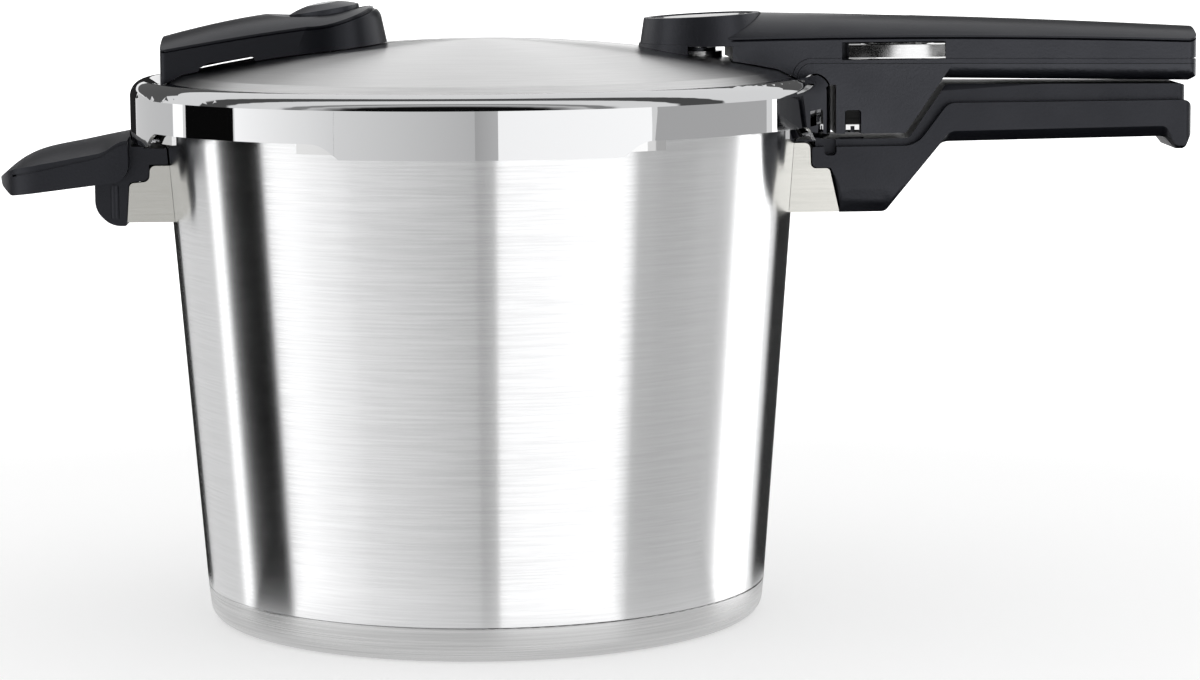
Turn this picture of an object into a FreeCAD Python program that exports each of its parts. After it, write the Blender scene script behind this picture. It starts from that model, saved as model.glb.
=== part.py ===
"""Stovetop pressure cooker, 22 cm: a tapered steel pot with a capped base, a bayonet lid that turns on
four claws, a latched long handle, a helper handle, a rising pressure indicator with its setting dial, and
an automatic start valve. Millimetres, +Z up. The origin is the middle of the flat underside, and +X runs
along the long handles."""

import FreeCAD, Part
import math
import os

V = FreeCAD.Vector

# --- pot ---------------------------------------------------------------------------------------------
rim_top = 176.0             # sealing face of the pot
seam_height = 12.3          # top edge of the base cap
seam_radius = 98.2          # pot and cap outside radius at that edge
wall_taper = 0.0755         # radius gained per millimetre of height
pot_wall = 1.0
floor_top = 8.2             # inside floor of the pot
floor_corner = 9.0          # inside radius between floor and wall
cap_sheet = 1.0             # base cap thickness
cap_draft = 1.3             # how far the cap's foot lies inside its top edge
cap_edge = 5.5              # rolled edge of the base cap
cap_gap = 0.1               # base cap to pot, all round
cap_lip_round = 0.4
core_inset = 9.2            # edge of the aluminium heat spreader to the seam
core_round = 1.5
rim_sheet = 1.6
rim_roll = 1.5              # bends of the rolled rim and of a lug
rim_round = 0.9
lug_bend = 0.8
lug_round = 1.2
rim_reach = 4.0             # how far the rolled rim stands out of the wall
lug_reach = 8.3             # how far a bayonet lug stands out of the wall
lug_width = 60.0            # degrees
lug_lip = 1.6               # turned-down edge of a lug
claws = 4                   # bayonet claws, and as many lugs

cap_foot_radius = seam_radius - cap_draft
cap_lean = cap_draft / seam_height
core_radius = seam_radius - core_inset
pot_top_radius = seam_radius + wall_taper * (rim_top - seam_height)
lug_edge = pot_top_radius + lug_reach

# --- lid ---------------------------------------------------------------------------------------------
lid_sheet = 1.2
skirt_sheet = 1.5
skirt_play = 1.34           # skirt to the edge of a lug
crest_inset = 4.3           # raised rim bead, inside the skirt
groove_inset = 5.5          # groove, inside the bead
dome_inset = 7.9            # where the dome starts to roll down to the groove
dome_radius = 500.0
groove_rise = 10.5          # groove above the pot's rim
crest_rise = 2.1            # bead above the groove
dome_rise = 14.7            # crown of the dome above the groove
shoulder_drop = 5.0         # where the bead has rolled into the skirt
skirt_drop = 3.2            # skirt edge between two claws, below the pot's rim
claw_drop = 8.1             # bottom of a claw below the pot's rim
claw_half_angle = 22.0      # half the width of a claw at its bottom, degrees
claw_slope = 3.2            # degrees that the claw's side slopes over its height
claw_round = 11.0
claw_lip = 1.1              # thickness of the claw's inward lip
claw_reach = 4.6            # how far that lip reaches inwards
hook_half_angle = 13.5      # half the width of that lip, degrees
window_angle = -21.7        # safety window in one claw, degrees
window_wide = 12.4
window_tall = 5.2
bayonet_play = 0.3          # claw lip to lug
seal_play = 0.3             # sealing ring to pot rim
seal_side_play = 0.4
seal_height = 8.9
seal_depth = 9.6
seal_lip = 2.1
seal_back = 3.0

skirt_radius = lug_edge + skirt_play + skirt_sheet
crest_radius = skirt_radius - crest_inset
groove_radius = crest_radius - groove_inset
dome_edge = groove_radius - dome_inset
groove_height = rim_top + groove_rise
crest_height = groove_height + crest_rise
shoulder_height = crest_height - shoulder_drop
lid_top = groove_height + dome_rise
skirt_edge = rim_top - skirt_drop
claw_bottom = rim_top - claw_drop
below = claw_bottom - 60        # lower and higher than every piece of the lid
above = lid_top + 30
wide = 3 * skirt_radius         # further out than any piece

# --- lid handle --------------------------------------------------------------------------------------
turret_inset = 44.5         # middle of the round turret to the skirt
turret_foot_radius = 22.2
turret_top_radius = 20.3
turret_sink = 1.9           # foot of the turret below the crown of the dome
turret_height = 9.5
turret_tilt = 2.6           # degrees, higher towards the grip
disc_radius = 17.7          # dished steel positioning disc
disc_sheet = 1.0
disc_depth = 3.0            # its seat in the turret
disc_play = 0.1
handle_reach = 126.7        # end of the handle to the skirt
handle_root_half = 21.0     # half the handle's width at the turret
handle_end_half = 15.0
handle_corner = 3.6
crown_radius = 30.3         # cross-section of the handle's crown
crown_bow = 4000.0          # bow of the ridge along the handle
ridge_start = 19.3          # a point on the ridge, from the turret's middle
ridge_rise = 0.7            # its height above the turret
ridge_fall = 0.021          # slope of the ridge there
crease = 0.6                # shadow groove under the crown
arch_inset = 12.8           # where the arch of the parting line comes down, inside the skirt
arch_round = 4.8
parting_rise = 4.013        # parting line at the arch, above the rim bead
parting_fall = 0.0116
bead_height = 1.5           # bead along the shell's lower edge
bead_groove = 0.45
parting_gap = 0.15
cover_edge = 0.5            # crown cover: its thin edge, sheet, and where the step lies
cover_sheet = 2.2
cover_step = 1.3
cover_gap = 0.2
cover_offset = 7.2          # start of the cover, from the turret's middle
shell_offset = 26.8         # start of the shell's hollow
shell_wall = 2.6
lid_clear = 0.35            # handle parts to the dome, bead and skirt
slot_offset = (-6.2, 9.3)   # steam slot below the turret, from the turret's middle
slot_drop = 0.7             # its roof, below the turret's foot
foot_rim = 0.4              # how far the foot piece stands out of the turret's wall
screw_offset = 19.8         # the screw that holds the lid handle, from the turret's middle
housing_screw_inset = (68.4, 16.4)      # from the end of the handle
rib_sheet = 2.4             # cross ribs and screw posts in the grip
post_radius = 4.2
housing_lift = 0.2          # housing above the bottom of the claws
housing_step = 1.4          # housing above the lid's shoulder, where it reaches over the skirt
housing_round = 1.2
housing_gap = 0.6           # housing to the skirt
housing_length = 24.1       # its flat bottom, before the slope up to the grip
slope_run = 16.6
grip_depth = 5.8            # grip below the parting line, at its root and at its end
grip_end_depth = 7.7
grip_round = 5.5

# --- lock: bolt, slide, flag -------------------------------------------------------------------------
bolt_offset = 6.5           # from the skirt
bolt_width = 4.6
bolt_depth = 4.0
bolt_length = 18.6
bolt_travel = 4.0
bolt_play = 0.25
bolt_lift = 0.3             # its tip above the housing's bottom, at rest
bolt_y = -15.0
notch_width = 5.6           # notch in the housing that shows the bolt
notch_height = 8.1
notch_round = 1.0
bolt_chamfer = 0.9
pin_radius = 1.2            # cross pin of the bolt, and the slanted slot that drives it
pin_drop = 6.6              # below the parting line
pin_play = 0.3
pin_room = 0.5
seat_half_x = 2.7           # spring seat on the pin
seat_half_y = 3.5
seat_below = 1.5
seat_above = 1.3
spring_y = 4.0
spring_radius = 2.0
spring_wire = 0.6
spring_turns = 7
spring_boss = 2.9           # boss of the crown that backs the spring
spring_drop = 6.5           # top of the spring, below the ridge
cam_reach = (3.0, 8.8)      # plate of the carriage that drives the pin, before and behind the bolt
cam_depth = 7.4
cam_y = -11.0
cam_sheet = 1.6
carriage_half = 11.0
slide_back = -14.5          # inner face of the slide, where the carriage's neck meets it
carriage_start_offset = 5.8     # from the bolt
carriage_end_offset = 14.5      # from the window
carriage_lift = 0.6         # above the parting line
carriage_play = 0.4
window_offset = 13.3        # indicator window, from the bolt
window_length = 19.0
window_width = 7.0
window_round = 3.0
window_play = 0.1
window_sink = 0.5
flag_drop = 5.9             # flag below the ridge
flag_sheet = 1.0
flag_half = 3.0
release_offset = 1.8        # middle of the release slide, from the window
release_length = 33.4
release_height = 5.6
release_rise = 3.9          # its middle above the parting line
release_stand = 2.6         # how far it stands out of the handle's side
release_bevel = 1.3
release_travel = 2.0
release_play = 0.25

turret_x = skirt_radius - turret_inset
turret_foot = lid_top - turret_sink
turret_top = turret_foot + turret_height
handle_end = skirt_radius + handle_reach
ridge_x = turret_x + ridge_start
ridge_z = turret_top + ridge_rise
arch_x = skirt_radius - arch_inset
parting_z = crest_height + parting_rise
cover_start = turret_x + cover_offset
shell_start = turret_x + shell_offset
slot_start, slot_end = (turret_x + offset for offset in slot_offset)
slot_roof = turret_foot - slot_drop
screw_x = turret_x + screw_offset
housing_screw_x = [handle_end - inset for inset in housing_screw_inset]
housing_bottom = claw_bottom + housing_lift
housing_front = skirt_radius + housing_gap
housing_back = housing_front + housing_length
slope_top_x = housing_back + slope_run
under_root = parting_z - grip_depth
under_end = parting_z - grip_end_depth
bolt_x = skirt_radius + bolt_offset
notch_top = housing_bottom + notch_height
pin_z = parting_z - pin_drop
spring_seat = ridge_z - spring_drop
window_x = bolt_x + window_offset
cam_start = bolt_x - cam_reach[0]
cam_end = bolt_x + cam_reach[1]
cam_low = pin_z - cam_depth
carriage_start = bolt_x + carriage_start_offset
carriage_end = window_x + carriage_end_offset
carriage_low = parting_z + carriage_lift
flag_low = ridge_z - flag_drop
release_middle = window_x + release_offset
release_z = parting_z + release_rise

# --- pot handle --------------------------------------------------------------------------------------
guard_half = 21.5           # half the width of the flame guards
guard_sheet = 1.0
guard_gap = 0.35            # handle plastic to its guard and to the pot
guard_rise = 23.9           # height of the long handle's guard
guard_drop = 10.8           # its top below the pot's rim
guard_neck = 2.54           # reach of its upper part, of its step and of its foot, from the top of the wall
guard_step = 9.24
guard_foot = 12.64
guard_step_drop = 8.8
guard_lean = 0.3
pot_handle_root = 6.44      # where the handle is widest, from the top of the wall
pot_handle_half = 22.4
pot_handle_end_half = 16.0
pot_handle_short = 1.9      # how much shorter than the lid handle
pot_handle_hang = 0.4       # how far it reaches below its guard
pot_handle_flat = 9.1       # height of the lower bevel on its side
deck_gap = 1.9              # inner rib to the lid's housing
top_gap = 2.1               # rib to the grip of the lid handle, at its root and at its end
top_gap_end = 1.0
ledge_drop = 8.4            # top edge of the side faces, below the lid handle's grip
ledge_low_drop = 12.2       # its lower part, below the pot's rim
ledge_inset = 3.4           # the rib above them stands this far in
flank_depth = 4.0           # how far the lower bevels reach in
handle_gap = 2.2            # rib of the pot handle to the slope of the lid housing
pot_screw_drop = 23.0       # below the pot's rim
catch_play = 0.7            # bolt to the outer wall of its catch in the pot handle, to its ends and its back
catch_room = 2.2
catch_back = 3.7
catch_depth = 6.0
notch_low_drop = 15.2       # notch behind the guard, below the pot's rim
notch_reach = 7.44
notch_long = 4.2
notch_half = 17.0

guard_top = rim_top - guard_drop
guard_bottom = guard_top - guard_rise
pot_handle_end = handle_end - pot_handle_short
pot_handle_bottom = guard_bottom - pot_handle_hang
pot_handle_deck = housing_bottom - deck_gap
pot_handle_top = under_root - top_gap
pot_handle_top_end = under_end - top_gap_end
pot_handle_ledge = under_root - ledge_drop
pot_handle_ledge_low = rim_top - ledge_low_drop
pot_screw_z = rim_top - pot_screw_drop

# --- the screws and brackets of both handles ---------------------------------------------------------
bracket_half = 14.0
bracket_tall = 16.0
bracket_sheet = 2.4
stud_radius = 4.0
stud_reach = 8.44           # from the top of the wall
shank_radius = 2.0
head_radius = 4.6
head_height = 3.0
head_reach = 25.44          # under the head of the long handle's screw, from the top of the wall
screw_play = 0.3
shank_fit = 0.1
screw_end_gap = 0.6         # end of the shank to the wall
slot_sink = 1.2
pocket_play = 0.5
drive_slot = 1.2

# --- helper handle -----------------------------------------------------------------------------------
helper_guard_rise = 19.4
helper_guard_drop = 16.4
helper_guard_neck = 3.34
helper_guard_step = 10.44
helper_guard_foot = 11.44
helper_guard_step_drop = 5.4
helper_reach = 55.84           # tip of the wing, from the top of the wall
helper_half = 27.0
helper_tip_half = 23.0
helper_root_reach = 10.34      # round inner end of the wing
helper_neck_half = 20.6
helper_back_reach = 22.44      # back of the rounded belly
helper_hang = 1.3              # belly below the guard
helper_shoulder = 13.44        # where the wing starts to taper
helper_tip_round = 16.0
helper_root_drop = 21.1        # underside of the wing below the pot's rim, at its root and at its tip
helper_tip_drop = 26.3
belly_chamfer = 5.4
belly_round = 8.0
helper_head_reach = 16.44      # under the head of its screw
helper_screw_drop = 25.5
helper_top = (                 # along the wing: reach, then crease and ridge as drops below the pot's rim
    (57.44, 22.4, 22.1),
    (54.44, 20.2, 19.0),
    (50.44, 18.6, 15.6),
    (44.44, 17.3, 12.3),
    (39.44, 16.2, 10.7),
    (32.44, 14.7, 9.3),
    (22.94, 12.6, 7.5),
    (18.44, 11.2, 6.6),
    (15.44, 9.2, 6.1),
    (11.44, 7.4, 5.4),
    (1.44, 6.6, 4.4),
    (-12.56, 6.0, 3.4),
)

helper_guard_top = rim_top - helper_guard_drop
helper_guard_bottom = helper_guard_top - helper_guard_rise
helper_screw_z = rim_top - helper_screw_drop
helper_belly = helper_guard_bottom - helper_hang

# --- pressure valve ----------------------------------------------------------------------------------
valve_x = -52.3             # valve axis where it meets the dome
valve_rise = 0.743          # its land above the dome there
valve_tilt = -9.0           # degrees from upright, leaning outwards
valve_land = 13.6           # stamped flat in the dome
valve_land_depth = 2.6
valve_hole = 8.2
valve_bore = 4.6
valve_fit = 0.05
valve_thread_play = 0.2
valve_flange = 11.5
valve_depth = 9.0           # how far the body reaches below its land
gasket_sheet = 1.4
nut_across = 20.0
nut_height = 4.0
stem_radius = 2.2
stem_play = 0.35
piston_height = 4.0
dial_radius = 12.2
dial_foot = 6.4             # above the land
dial_shoulder = 12.9
dial_top = 15.4
dial_play = 0.35
dial_wall = 1.6
cap_radius = 5.6            # pressure indicator's cap
cap_seat = 0.3

cover_half = 20.6           # half the cover's width over its round inner end, and at its outer end
cover_end_half = 19.4
cover_wall = 2.4
cover_end_inset = 1.9       # outer end of the cover, inside the groove of the lid
cover_middle = -54.3        # middle of the rounded inner end
cover_round_radius = 21.9   # its radius at the middle level
cover_draft = 0.2095        # how much that radius shrinks per millimetre of height
cover_level = 1.2           # this middle level, below the dome's crown
cover_end_rise = 13.1       # top of the rounded end above that level
cover_end_round = 5.0
cover_crease_drop = 2.7     # crease between side and crown at the outer end, below the dome's crown
cover_crease_x = -108.3
cover_rise = 0.151          # slope of the crease
cover_ridge = (             # along the cover: place, and ridge above the dome's crown
    (-114, 0.8),
    (-100, 4.4),
    (-86, 7.4),
    (-73.6, 9.4),
    (-58, 10.9),
    (-42, 11.7),
    (-28, 12.4),
)
collar_wall = 2.0           # collar of the cover round the dial
scoop_radius = 40.0         # hollow in the cover before the dial
scoop_out = 5.0
scoop_rise = 6.4            # its lowest point above the dome's crown
outlet_half = 10.0          # steam outlet in the cover's far side
outlet_y = -22.0
outlet = (                  # its outline: place from the cover's end, and drop below the dome's crown
    (13.4, 8.6, 1.5),
    (17.2, 6.5, 1.5),
    (23.5, 6.0),
    (29.0, 4.6, 1.0),
    (32.6, 4.8, 1.0),
)

cover_end = -(groove_radius - cover_end_inset)

# --- automatic start valve ---------------------------------------------------------------------------
start_offset = 1.6          # inside the turret's middle
start_rise = 0.9            # its land above the dome
start_land = 8.6
start_land_depth = 3.0
start_hole = 4.6
start_bore = 2.4
start_flange = 6.4
start_depth = 7.0
start_travel = 2.0
start_fit = 0.08
start_flange_sheet = 1.2
start_head = 3.4            # head and collar of the pin
start_play = 0.05           # pin's collar above the flange, at rest
start_room = 4.0            # room for them in the turret
start_room_height = 5.2

start_x = turret_x - start_offset

# --- the lid handle's screw --------------------------------------------------------------------------
handle_shank = 2.6
handle_shank_play = 0.6
handle_head = 6.0
handle_head_height = 2.6
washer_sheet = 2.4
handle_screw_top = turret_top - 5.8
housing_shank = 1.4
housing_head = 3.1
housing_head_height = 2.0
housing_grip = 7.6          # thread of the housing screws above the parting line
housing_cover = 2.4         # plastic between a screw head and the parting line

# --- drawing values ----------------------------------------------------------------------------------
over = 2.0                  # how far a cut runs past the edge that it opens
weld = 0.4                  # how far joined shapes of one piece run into each other
through = 20.0              # length of a cut through the sheet of the dome
snug = 0.02                 # between two seated faces that would otherwise coincide


# --- drawing helpers ---------------------------------------------------------------------------------
def side_view(p):
    return V(p.x, 0, p.y)


def outline(corners, view):
    """Closed wire through corners (u, v) or (u, v, radius), each radius a tangent arc."""
    rounds = []
    count = len(corners)
    for i, corner in enumerate(corners):
        here = V(corner[0], corner[1], 0)
        radius = corner[2] if len(corner) > 2 else 0
        if not radius:
            rounds.append((here, None, here))
            continue
        before, after = corners[i - 1], corners[(i + 1) % count]
        a = (V(before[0], before[1], 0) - here).normalize()
        b = (V(after[0], after[1], 0) - here).normalize()
        half = a.getAngle(b) / 2
        inward = (a + b).normalize()
        setback = radius / math.tan(half)
        crown = here + inward * (radius / math.sin(half) - radius)
        rounds.append((here + a * setback, crown, here + b * setback))
    edges = []
    for i, (start, crown, end) in enumerate(rounds):
        if crown is not None:
            edges.append(Part.Arc(view(start), view(crown), view(end)).toShape())
        following = rounds[(i + 1) % count][0]
        if (following - end).Length > 1e-6:
            edges.append(Part.makeLine(view(end), view(following)))
    return Part.Wire(edges)


def prism(corners, half_width, middle=0.0):
    """A side view, pulled out to both sides of the middle plane."""
    face = Part.Face(outline(corners, lambda p: V(p.x, middle - half_width, p.y)))
    return face.extrude(V(0, 2 * half_width, 0))


def plate(corners, low, high):
    """A plan view between two heights."""
    face = Part.Face(outline(corners, lambda p: V(p.x, p.y, low)))
    return face.extrude(V(0, 0, high - low))


def turned(corners, angle=360.0, start=0.0):
    """A half section (radius, height), turned about the Z axis."""
    shape = Part.Face(outline(corners, side_view)).revolve(V(0, 0, 0), V(0, 0, 1), angle)
    if start:
        shape.rotate(V(0, 0, 0), V(0, 0, 1), start)
    return shape


def path(start, steps):
    """Wire in the side view from start: a 2-tuple goes straight, a 4-tuple is an arc by its middle point."""
    edges = []
    here = V(start[0], 0, start[1])
    for step in steps:
        there = V(step[-2], 0, step[-1])
        if len(step) == 4:
            edges.append(Part.Arc(here, V(step[0], 0, step[1]), there).toShape())
        else:
            edges.append(Part.makeLine(here, there))
        here = there
    edges.append(Part.makeLine(here, V(start[0], 0, start[1])))
    return Part.Wire(edges)


def spun(wire):
    return Part.Face(wire).revolve(V(0, 0, 0), V(0, 0, 1), 360)


def box(x0, x1, y0, y1, z0, z1):
    return Part.makeBox(x1 - x0, y1 - y0, z1 - z0, V(x0, y0, z0))


def room(x, y, half_x, half_y, low, high):
    """A box round a point in plan."""
    return box(x - half_x, x + half_x, y - half_y, y + half_y, low, high)


def rod(radius, low, high, x=0.0, y=0.0):
    return Part.makeCylinder(radius, high - low, V(x, y, low))


def ring(outer, inner, low, high, x=0.0, y=0.0):
    return rod(outer, low, high, x, y).cut(rod(inner, low - over, high + over, x, y))


def level_rod(radius, start, end, z):
    """A rod along X."""
    return Part.makeCylinder(radius, end - start, V(start, 0, z), V(1, 0, 0))


def hexagon(across, low, high):
    corner = across / math.sqrt(3)
    turns = [math.radians(60 * i) for i in range(6)]
    return plate([(corner * math.cos(turn), corner * math.sin(turn)) for turn in turns], low, high)


def fuse(first, *others):
    return first.multiFuse(list(others)).removeSplitter()


def mirrored(shape):
    """The same shape on the other side of the pot."""
    return shape.mirror(V(0, 0, 0), V(1, 0, 0))


def middle(edge):
    return edge.valueAt((edge.FirstParameter + edge.LastParameter) / 2)


def flank(sides, half_at):
    """A handle body from side views given as (depth, corners): each next one lies further in than the tapered
    side plane, the surfaces between two of them are straight, and the last one runs through the middle."""
    wires = [outline(corners, lambda p: V(p.x, depth - half_at(p.x), p.y)) for depth, corners in sides]
    half = Part.Face(wires[-1]).extrude(V(0, wide, 0))
    for near, far in zip(wires, wires[1:]):
        half = half.fuse(Part.makeLoft([near, far], True, True))
    half = half.cut(box(-2 * wide, 2 * wide, 0, 2 * wide, -wide, wide))
    return fuse(half, half.mirror(V(0, 0, 0), V(0, 1, 0)))


def tapered(first, last):
    """A straight bar between two cross-sections, each (x, corners)."""
    wires = [outline(corners, lambda p, x=x: V(x, p.x, p.y)) for x, corners in (first, last)]
    return Part.makeLoft(wires, True, True)


def crowned_section(x, half, crease_z, ridge, inset):
    """Closed section across X: straight sides below, and an arc through both creases and the ridge."""
    reach = half + 3 * over
    edge_z = ridge - (ridge - crease_z) * (reach / half) ** 2 - inset
    edges = [
        Part.makeLine(V(x, -reach, below), V(x, -reach, edge_z)),
        Part.Arc(V(x, -reach, edge_z), V(x, 0, ridge - inset), V(x, reach, edge_z)).toShape(),
        Part.makeLine(V(x, reach, edge_z), V(x, reach, below)),
        Part.makeLine(V(x, reach, below), V(x, -reach, below)),
    ]
    return Part.Wire(edges)


# --- shared shapes -----------------------------------------------------------------------------------
def pot_radius(z):
    return seam_radius + wall_taper * (z - seam_height)


def pot_solid(grow):
    """The pot's outside, moved out by grow."""
    low = seam_height
    corners = [(0, low), (seam_radius + grow, low), (pot_top_radius + grow, rim_top), (0, rim_top)]
    return turned(corners)


def dome_z(radius):
    return lid_top - (dome_radius - math.sqrt(dome_radius**2 - radius**2))


def lid_envelope(grow):
    """Everything under the lid's outer surface, moved out by grow."""
    low = claw_bottom - 2 * abs(grow) - 1
    mid = dome_edge / 2
    return spun(
        path(
            (0, low),
            [
                (0, lid_top + grow),
                (mid, dome_z(mid) + grow, dome_edge, dome_z(dome_edge) + grow),
                (groove_radius - 0.6, groove_height + 0.1 + grow),
                (groove_radius + 0.2, groove_height + grow, groove_radius + 1.0, groove_height + 0.35 + grow),
                (crest_radius - 2.4, crest_height - 0.35 + grow, crest_radius, crest_height + grow),
                (
                    skirt_radius - 1.35 + 0.7 * grow,
                    crest_height - 1.85 + 0.7 * grow,
                    skirt_radius + grow,
                    shoulder_height,
                ),
                (skirt_radius + grow, low),
            ],
        )
    )


# --- pot ---------------------------------------------------------------------------------------------
def pot_body():
    under = floor_top - pot_wall
    inside_cap = cap_sheet + cap_gap
    lug_foot = claw_bottom + claw_lip + bayonet_play
    rim_edge = pot_top_radius + rim_reach
    shell = turned(
        [
            (0, under),
            (cap_foot_radius + cap_lean * under - inside_cap, under, floor_corner),
            (seam_radius - inside_cap, seam_height + cap_gap),
            (pot_radius(seam_height + cap_gap), seam_height + cap_gap),
            (pot_radius(rim_top - rim_sheet), rim_top - rim_sheet, rim_roll),
            (rim_edge, rim_top - rim_sheet),
            (rim_edge, rim_top),
            (pot_top_radius - pot_wall, rim_top, rim_round),
            (pot_radius(floor_top) - pot_wall, floor_top, floor_corner),
            (0, floor_top),
        ]
    )
    lug_corners = [
        (rim_edge - weld, rim_top),
        (rim_edge - weld, rim_top - rim_sheet),
        (lug_edge - lug_lip, rim_top - rim_sheet, lug_bend),
        (lug_edge - lug_lip, lug_foot),
        (lug_edge, lug_foot),
        (lug_edge, rim_top, lug_round),
    ]
    lugs = [turned(lug_corners, lug_width, i * 360 / claws - lug_width / 2) for i in range(claws)]
    return fuse(shell, *lugs)


def base_core():
    return turned(
        [
            (0, cap_sheet),
            (core_radius, cap_sheet, core_round),
            (core_radius, floor_top - pot_wall, core_round),
            (0, floor_top - pot_wall),
        ]
    )


def base_cap():
    return turned(
        [
            (0, 0),
            (cap_foot_radius, 0, cap_edge),
            (seam_radius, seam_height, cap_lip_round),
            (seam_radius - cap_sheet, seam_height),
            (cap_foot_radius + cap_lean * cap_sheet - cap_sheet, cap_sheet, cap_edge - cap_sheet),
            (0, cap_sheet),
        ]
    )


# --- lid ---------------------------------------------------------------------------------------------
def lid_wall():
    inner_edge = skirt_radius - skirt_sheet
    mid = dome_edge / 2
    inner = spun(
        path(
            (0, below),
            [
                (0, lid_top - lid_sheet),
                (mid, dome_z(mid) - lid_sheet, dome_edge, dome_z(dome_edge) - lid_sheet),
                (groove_radius - 1.0, groove_height - lid_sheet),
                (groove_radius + 1.6, groove_height - lid_sheet + 0.2),
                (crest_radius - 1.0, crest_height - lid_sheet - 0.3),
                (inner_edge - 0.6, crest_height - lid_sheet - 1.6),
                (inner_edge, shoulder_height),
                (inner_edge, below),
            ],
        )
    )
    return lid_envelope(0.0).cut(inner).cut(rod(skirt_radius + over, below, claw_bottom))


def claw_gap():
    """What is cut out of the skirt between two claws, seen along the X axis."""
    side_low = skirt_radius * math.sin(math.radians(180 / claws - claw_half_angle))
    side_high = skirt_radius * math.sin(math.radians(180 / claws - claw_half_angle - claw_slope))
    spread = over * (side_low - side_high) / (skirt_edge - claw_bottom)
    corners = [
        (-side_high, skirt_edge, claw_round),
        (side_high, skirt_edge, claw_round),
        (side_low + spread, claw_bottom - over),
        (-side_low - spread, claw_bottom - over),
    ]
    start = skirt_radius * math.cos(math.radians(180 / claws))
    face = Part.Face(outline(corners, lambda p: V(start, p.x, p.y)))
    return face.extrude(V(wide, 0, 0))


def claw_hook():
    return turned(
        [
            (skirt_radius - weld, claw_bottom),
            (skirt_radius - weld, claw_bottom + claw_lip),
            (skirt_radius - skirt_sheet - claw_reach, claw_bottom + claw_lip),
            (skirt_radius - skirt_sheet - claw_reach, claw_bottom),
        ],
        2 * hook_half_angle,
        -hook_half_angle,
    )


def safety_window():
    half = window_wide / 2
    inside = skirt_radius - skirt_sheet - over
    window = box(inside, skirt_radius + over, -half, half, skirt_edge, skirt_edge + window_tall)
    window.rotate(V(0, 0, 0), V(0, 0, 1), window_angle)
    return window


def lid_shell():
    shell = lid_wall()
    hooks = []
    for i in range(claws):
        gap = claw_gap()
        gap.rotate(V(0, 0, 0), V(0, 0, 1), (i + 0.5) * 360 / claws)
        shell = shell.cut(gap)
        hook = claw_hook()
        hook.rotate(V(0, 0, 0), V(0, 0, 1), i * 360 / claws)
        hooks.append(hook)
    shell = fuse(shell, *hooks).cut(safety_window())
    shell = fuse(shell, valve_frame(rod(valve_land, -valve_land_depth, 0.0)))
    shell = shell.cut(valve_frame(rod(valve_land - lid_sheet, -through, -lid_sheet)))
    shell = shell.cut(valve_frame(rod(valve_hole, -through, through)))
    top = start_top()
    shell = fuse(shell, rod(start_land, top - start_land_depth, top, start_x))
    shell = shell.cut(rod(start_land - lid_sheet, top - through, top - lid_sheet, start_x))
    shell = shell.cut(rod(start_hole, top - through, top + through, start_x))
    return shell.cut(rod(handle_shank + handle_shank_play, below, above, screw_x))


def sealing_ring():
    outer = skirt_radius - skirt_sheet - seal_side_play
    inner = outer - seal_depth
    low = rim_top + seal_play
    high = low + seal_height
    return turned(
        [
            (inner, low, 0.8),
            (outer, low, 1.2),
            (outer, high - 0.9, 1.0),
            (outer - 1.2, high, 0.5),
            (inner, high, 0.8),
            (inner, high - seal_lip, 0.6),
            (outer - seal_back, high - seal_lip - 0.4, 1.0),
            (outer - seal_back, low + seal_lip + 0.4, 1.0),
            (inner, low + seal_lip, 0.6),
        ]
    )


# --- lid handle --------------------------------------------------------------------------------------
def parting(x):
    return parting_z - parting_fall * (x - arch_x)


def lid_half_width(x):
    share = (x - turret_x) / (handle_end - turret_x)
    return handle_root_half + (handle_end_half - handle_root_half) * share


def lid_handle_plan(inset=0.0):
    """The handle seen from above, from the turret's middle to the rounded end."""
    root = lid_half_width(turret_x) - inset
    end = handle_end_half - inset
    corner = max(handle_corner - inset, weld)
    corners = [
        (turret_x, -root),
        (handle_end - inset, -end, corner),
        (handle_end - inset, end, corner),
        (turret_x, root),
    ]
    return plate(corners, claw_bottom, above)


def crown(inset=0.0):
    """The long barrel that forms the top of the handle: a circle swept along the bowed ridge."""
    slope = math.atan(ridge_fall)
    top = V(ridge_x, 0, ridge_z)
    normal = V(math.sin(slope), 0, math.cos(slope))
    along = V(math.cos(slope), 0, -math.sin(slope))
    hub = top - normal * crown_bow
    circle = Part.Circle(top - normal * crown_radius, along, crown_radius - inset)
    disc = Part.Face(Part.Wire(circle.toShape()))
    before = math.degrees((ridge_x - turret_x + turret_foot_radius) / crown_bow)
    after = math.degrees((handle_end + through - ridge_x) / crown_bow)
    disc.rotate(hub, V(0, 1, 0), -before)
    return disc.revolve(hub, V(0, 1, 0), before + after)


def turret_axis(shape):
    shape.rotate(V(turret_x, 0, turret_top), V(0, 1, 0), -turret_tilt)
    return shape


def turret(inset=0.0):
    """The round turret's cone, down to well inside the dome."""
    top = turret_top_radius - inset
    lean = (turret_foot_radius - turret_top_radius) / turret_height
    depth = turret_top - shoulder_height
    cone = Part.makeCone(top + lean * depth, top, depth, V(turret_x, 0, turret_top - depth))
    return turret_axis(cone)


def parting_wedge(grow=0.0):
    """Everything below the parting line, from the arch outwards."""
    foot = arch_x - grow
    far = handle_end + through
    corners = [
        (foot, below),
        (foot, parting(arch_x) + grow, arch_round + grow),
        (far, parting(far) + grow),
        (far, below),
    ]
    return prism(corners, wide)


def window_plate(inset, low):
    half = window_length / 2 - inset
    side = window_width / 2 - inset
    corner = window_round - inset
    corners = [
        (window_x - half, -side, corner),
        (window_x + half, -side, corner),
        (window_x + half, side, corner),
        (window_x - half, side, corner),
    ]
    return plate(corners, low, above)


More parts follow.
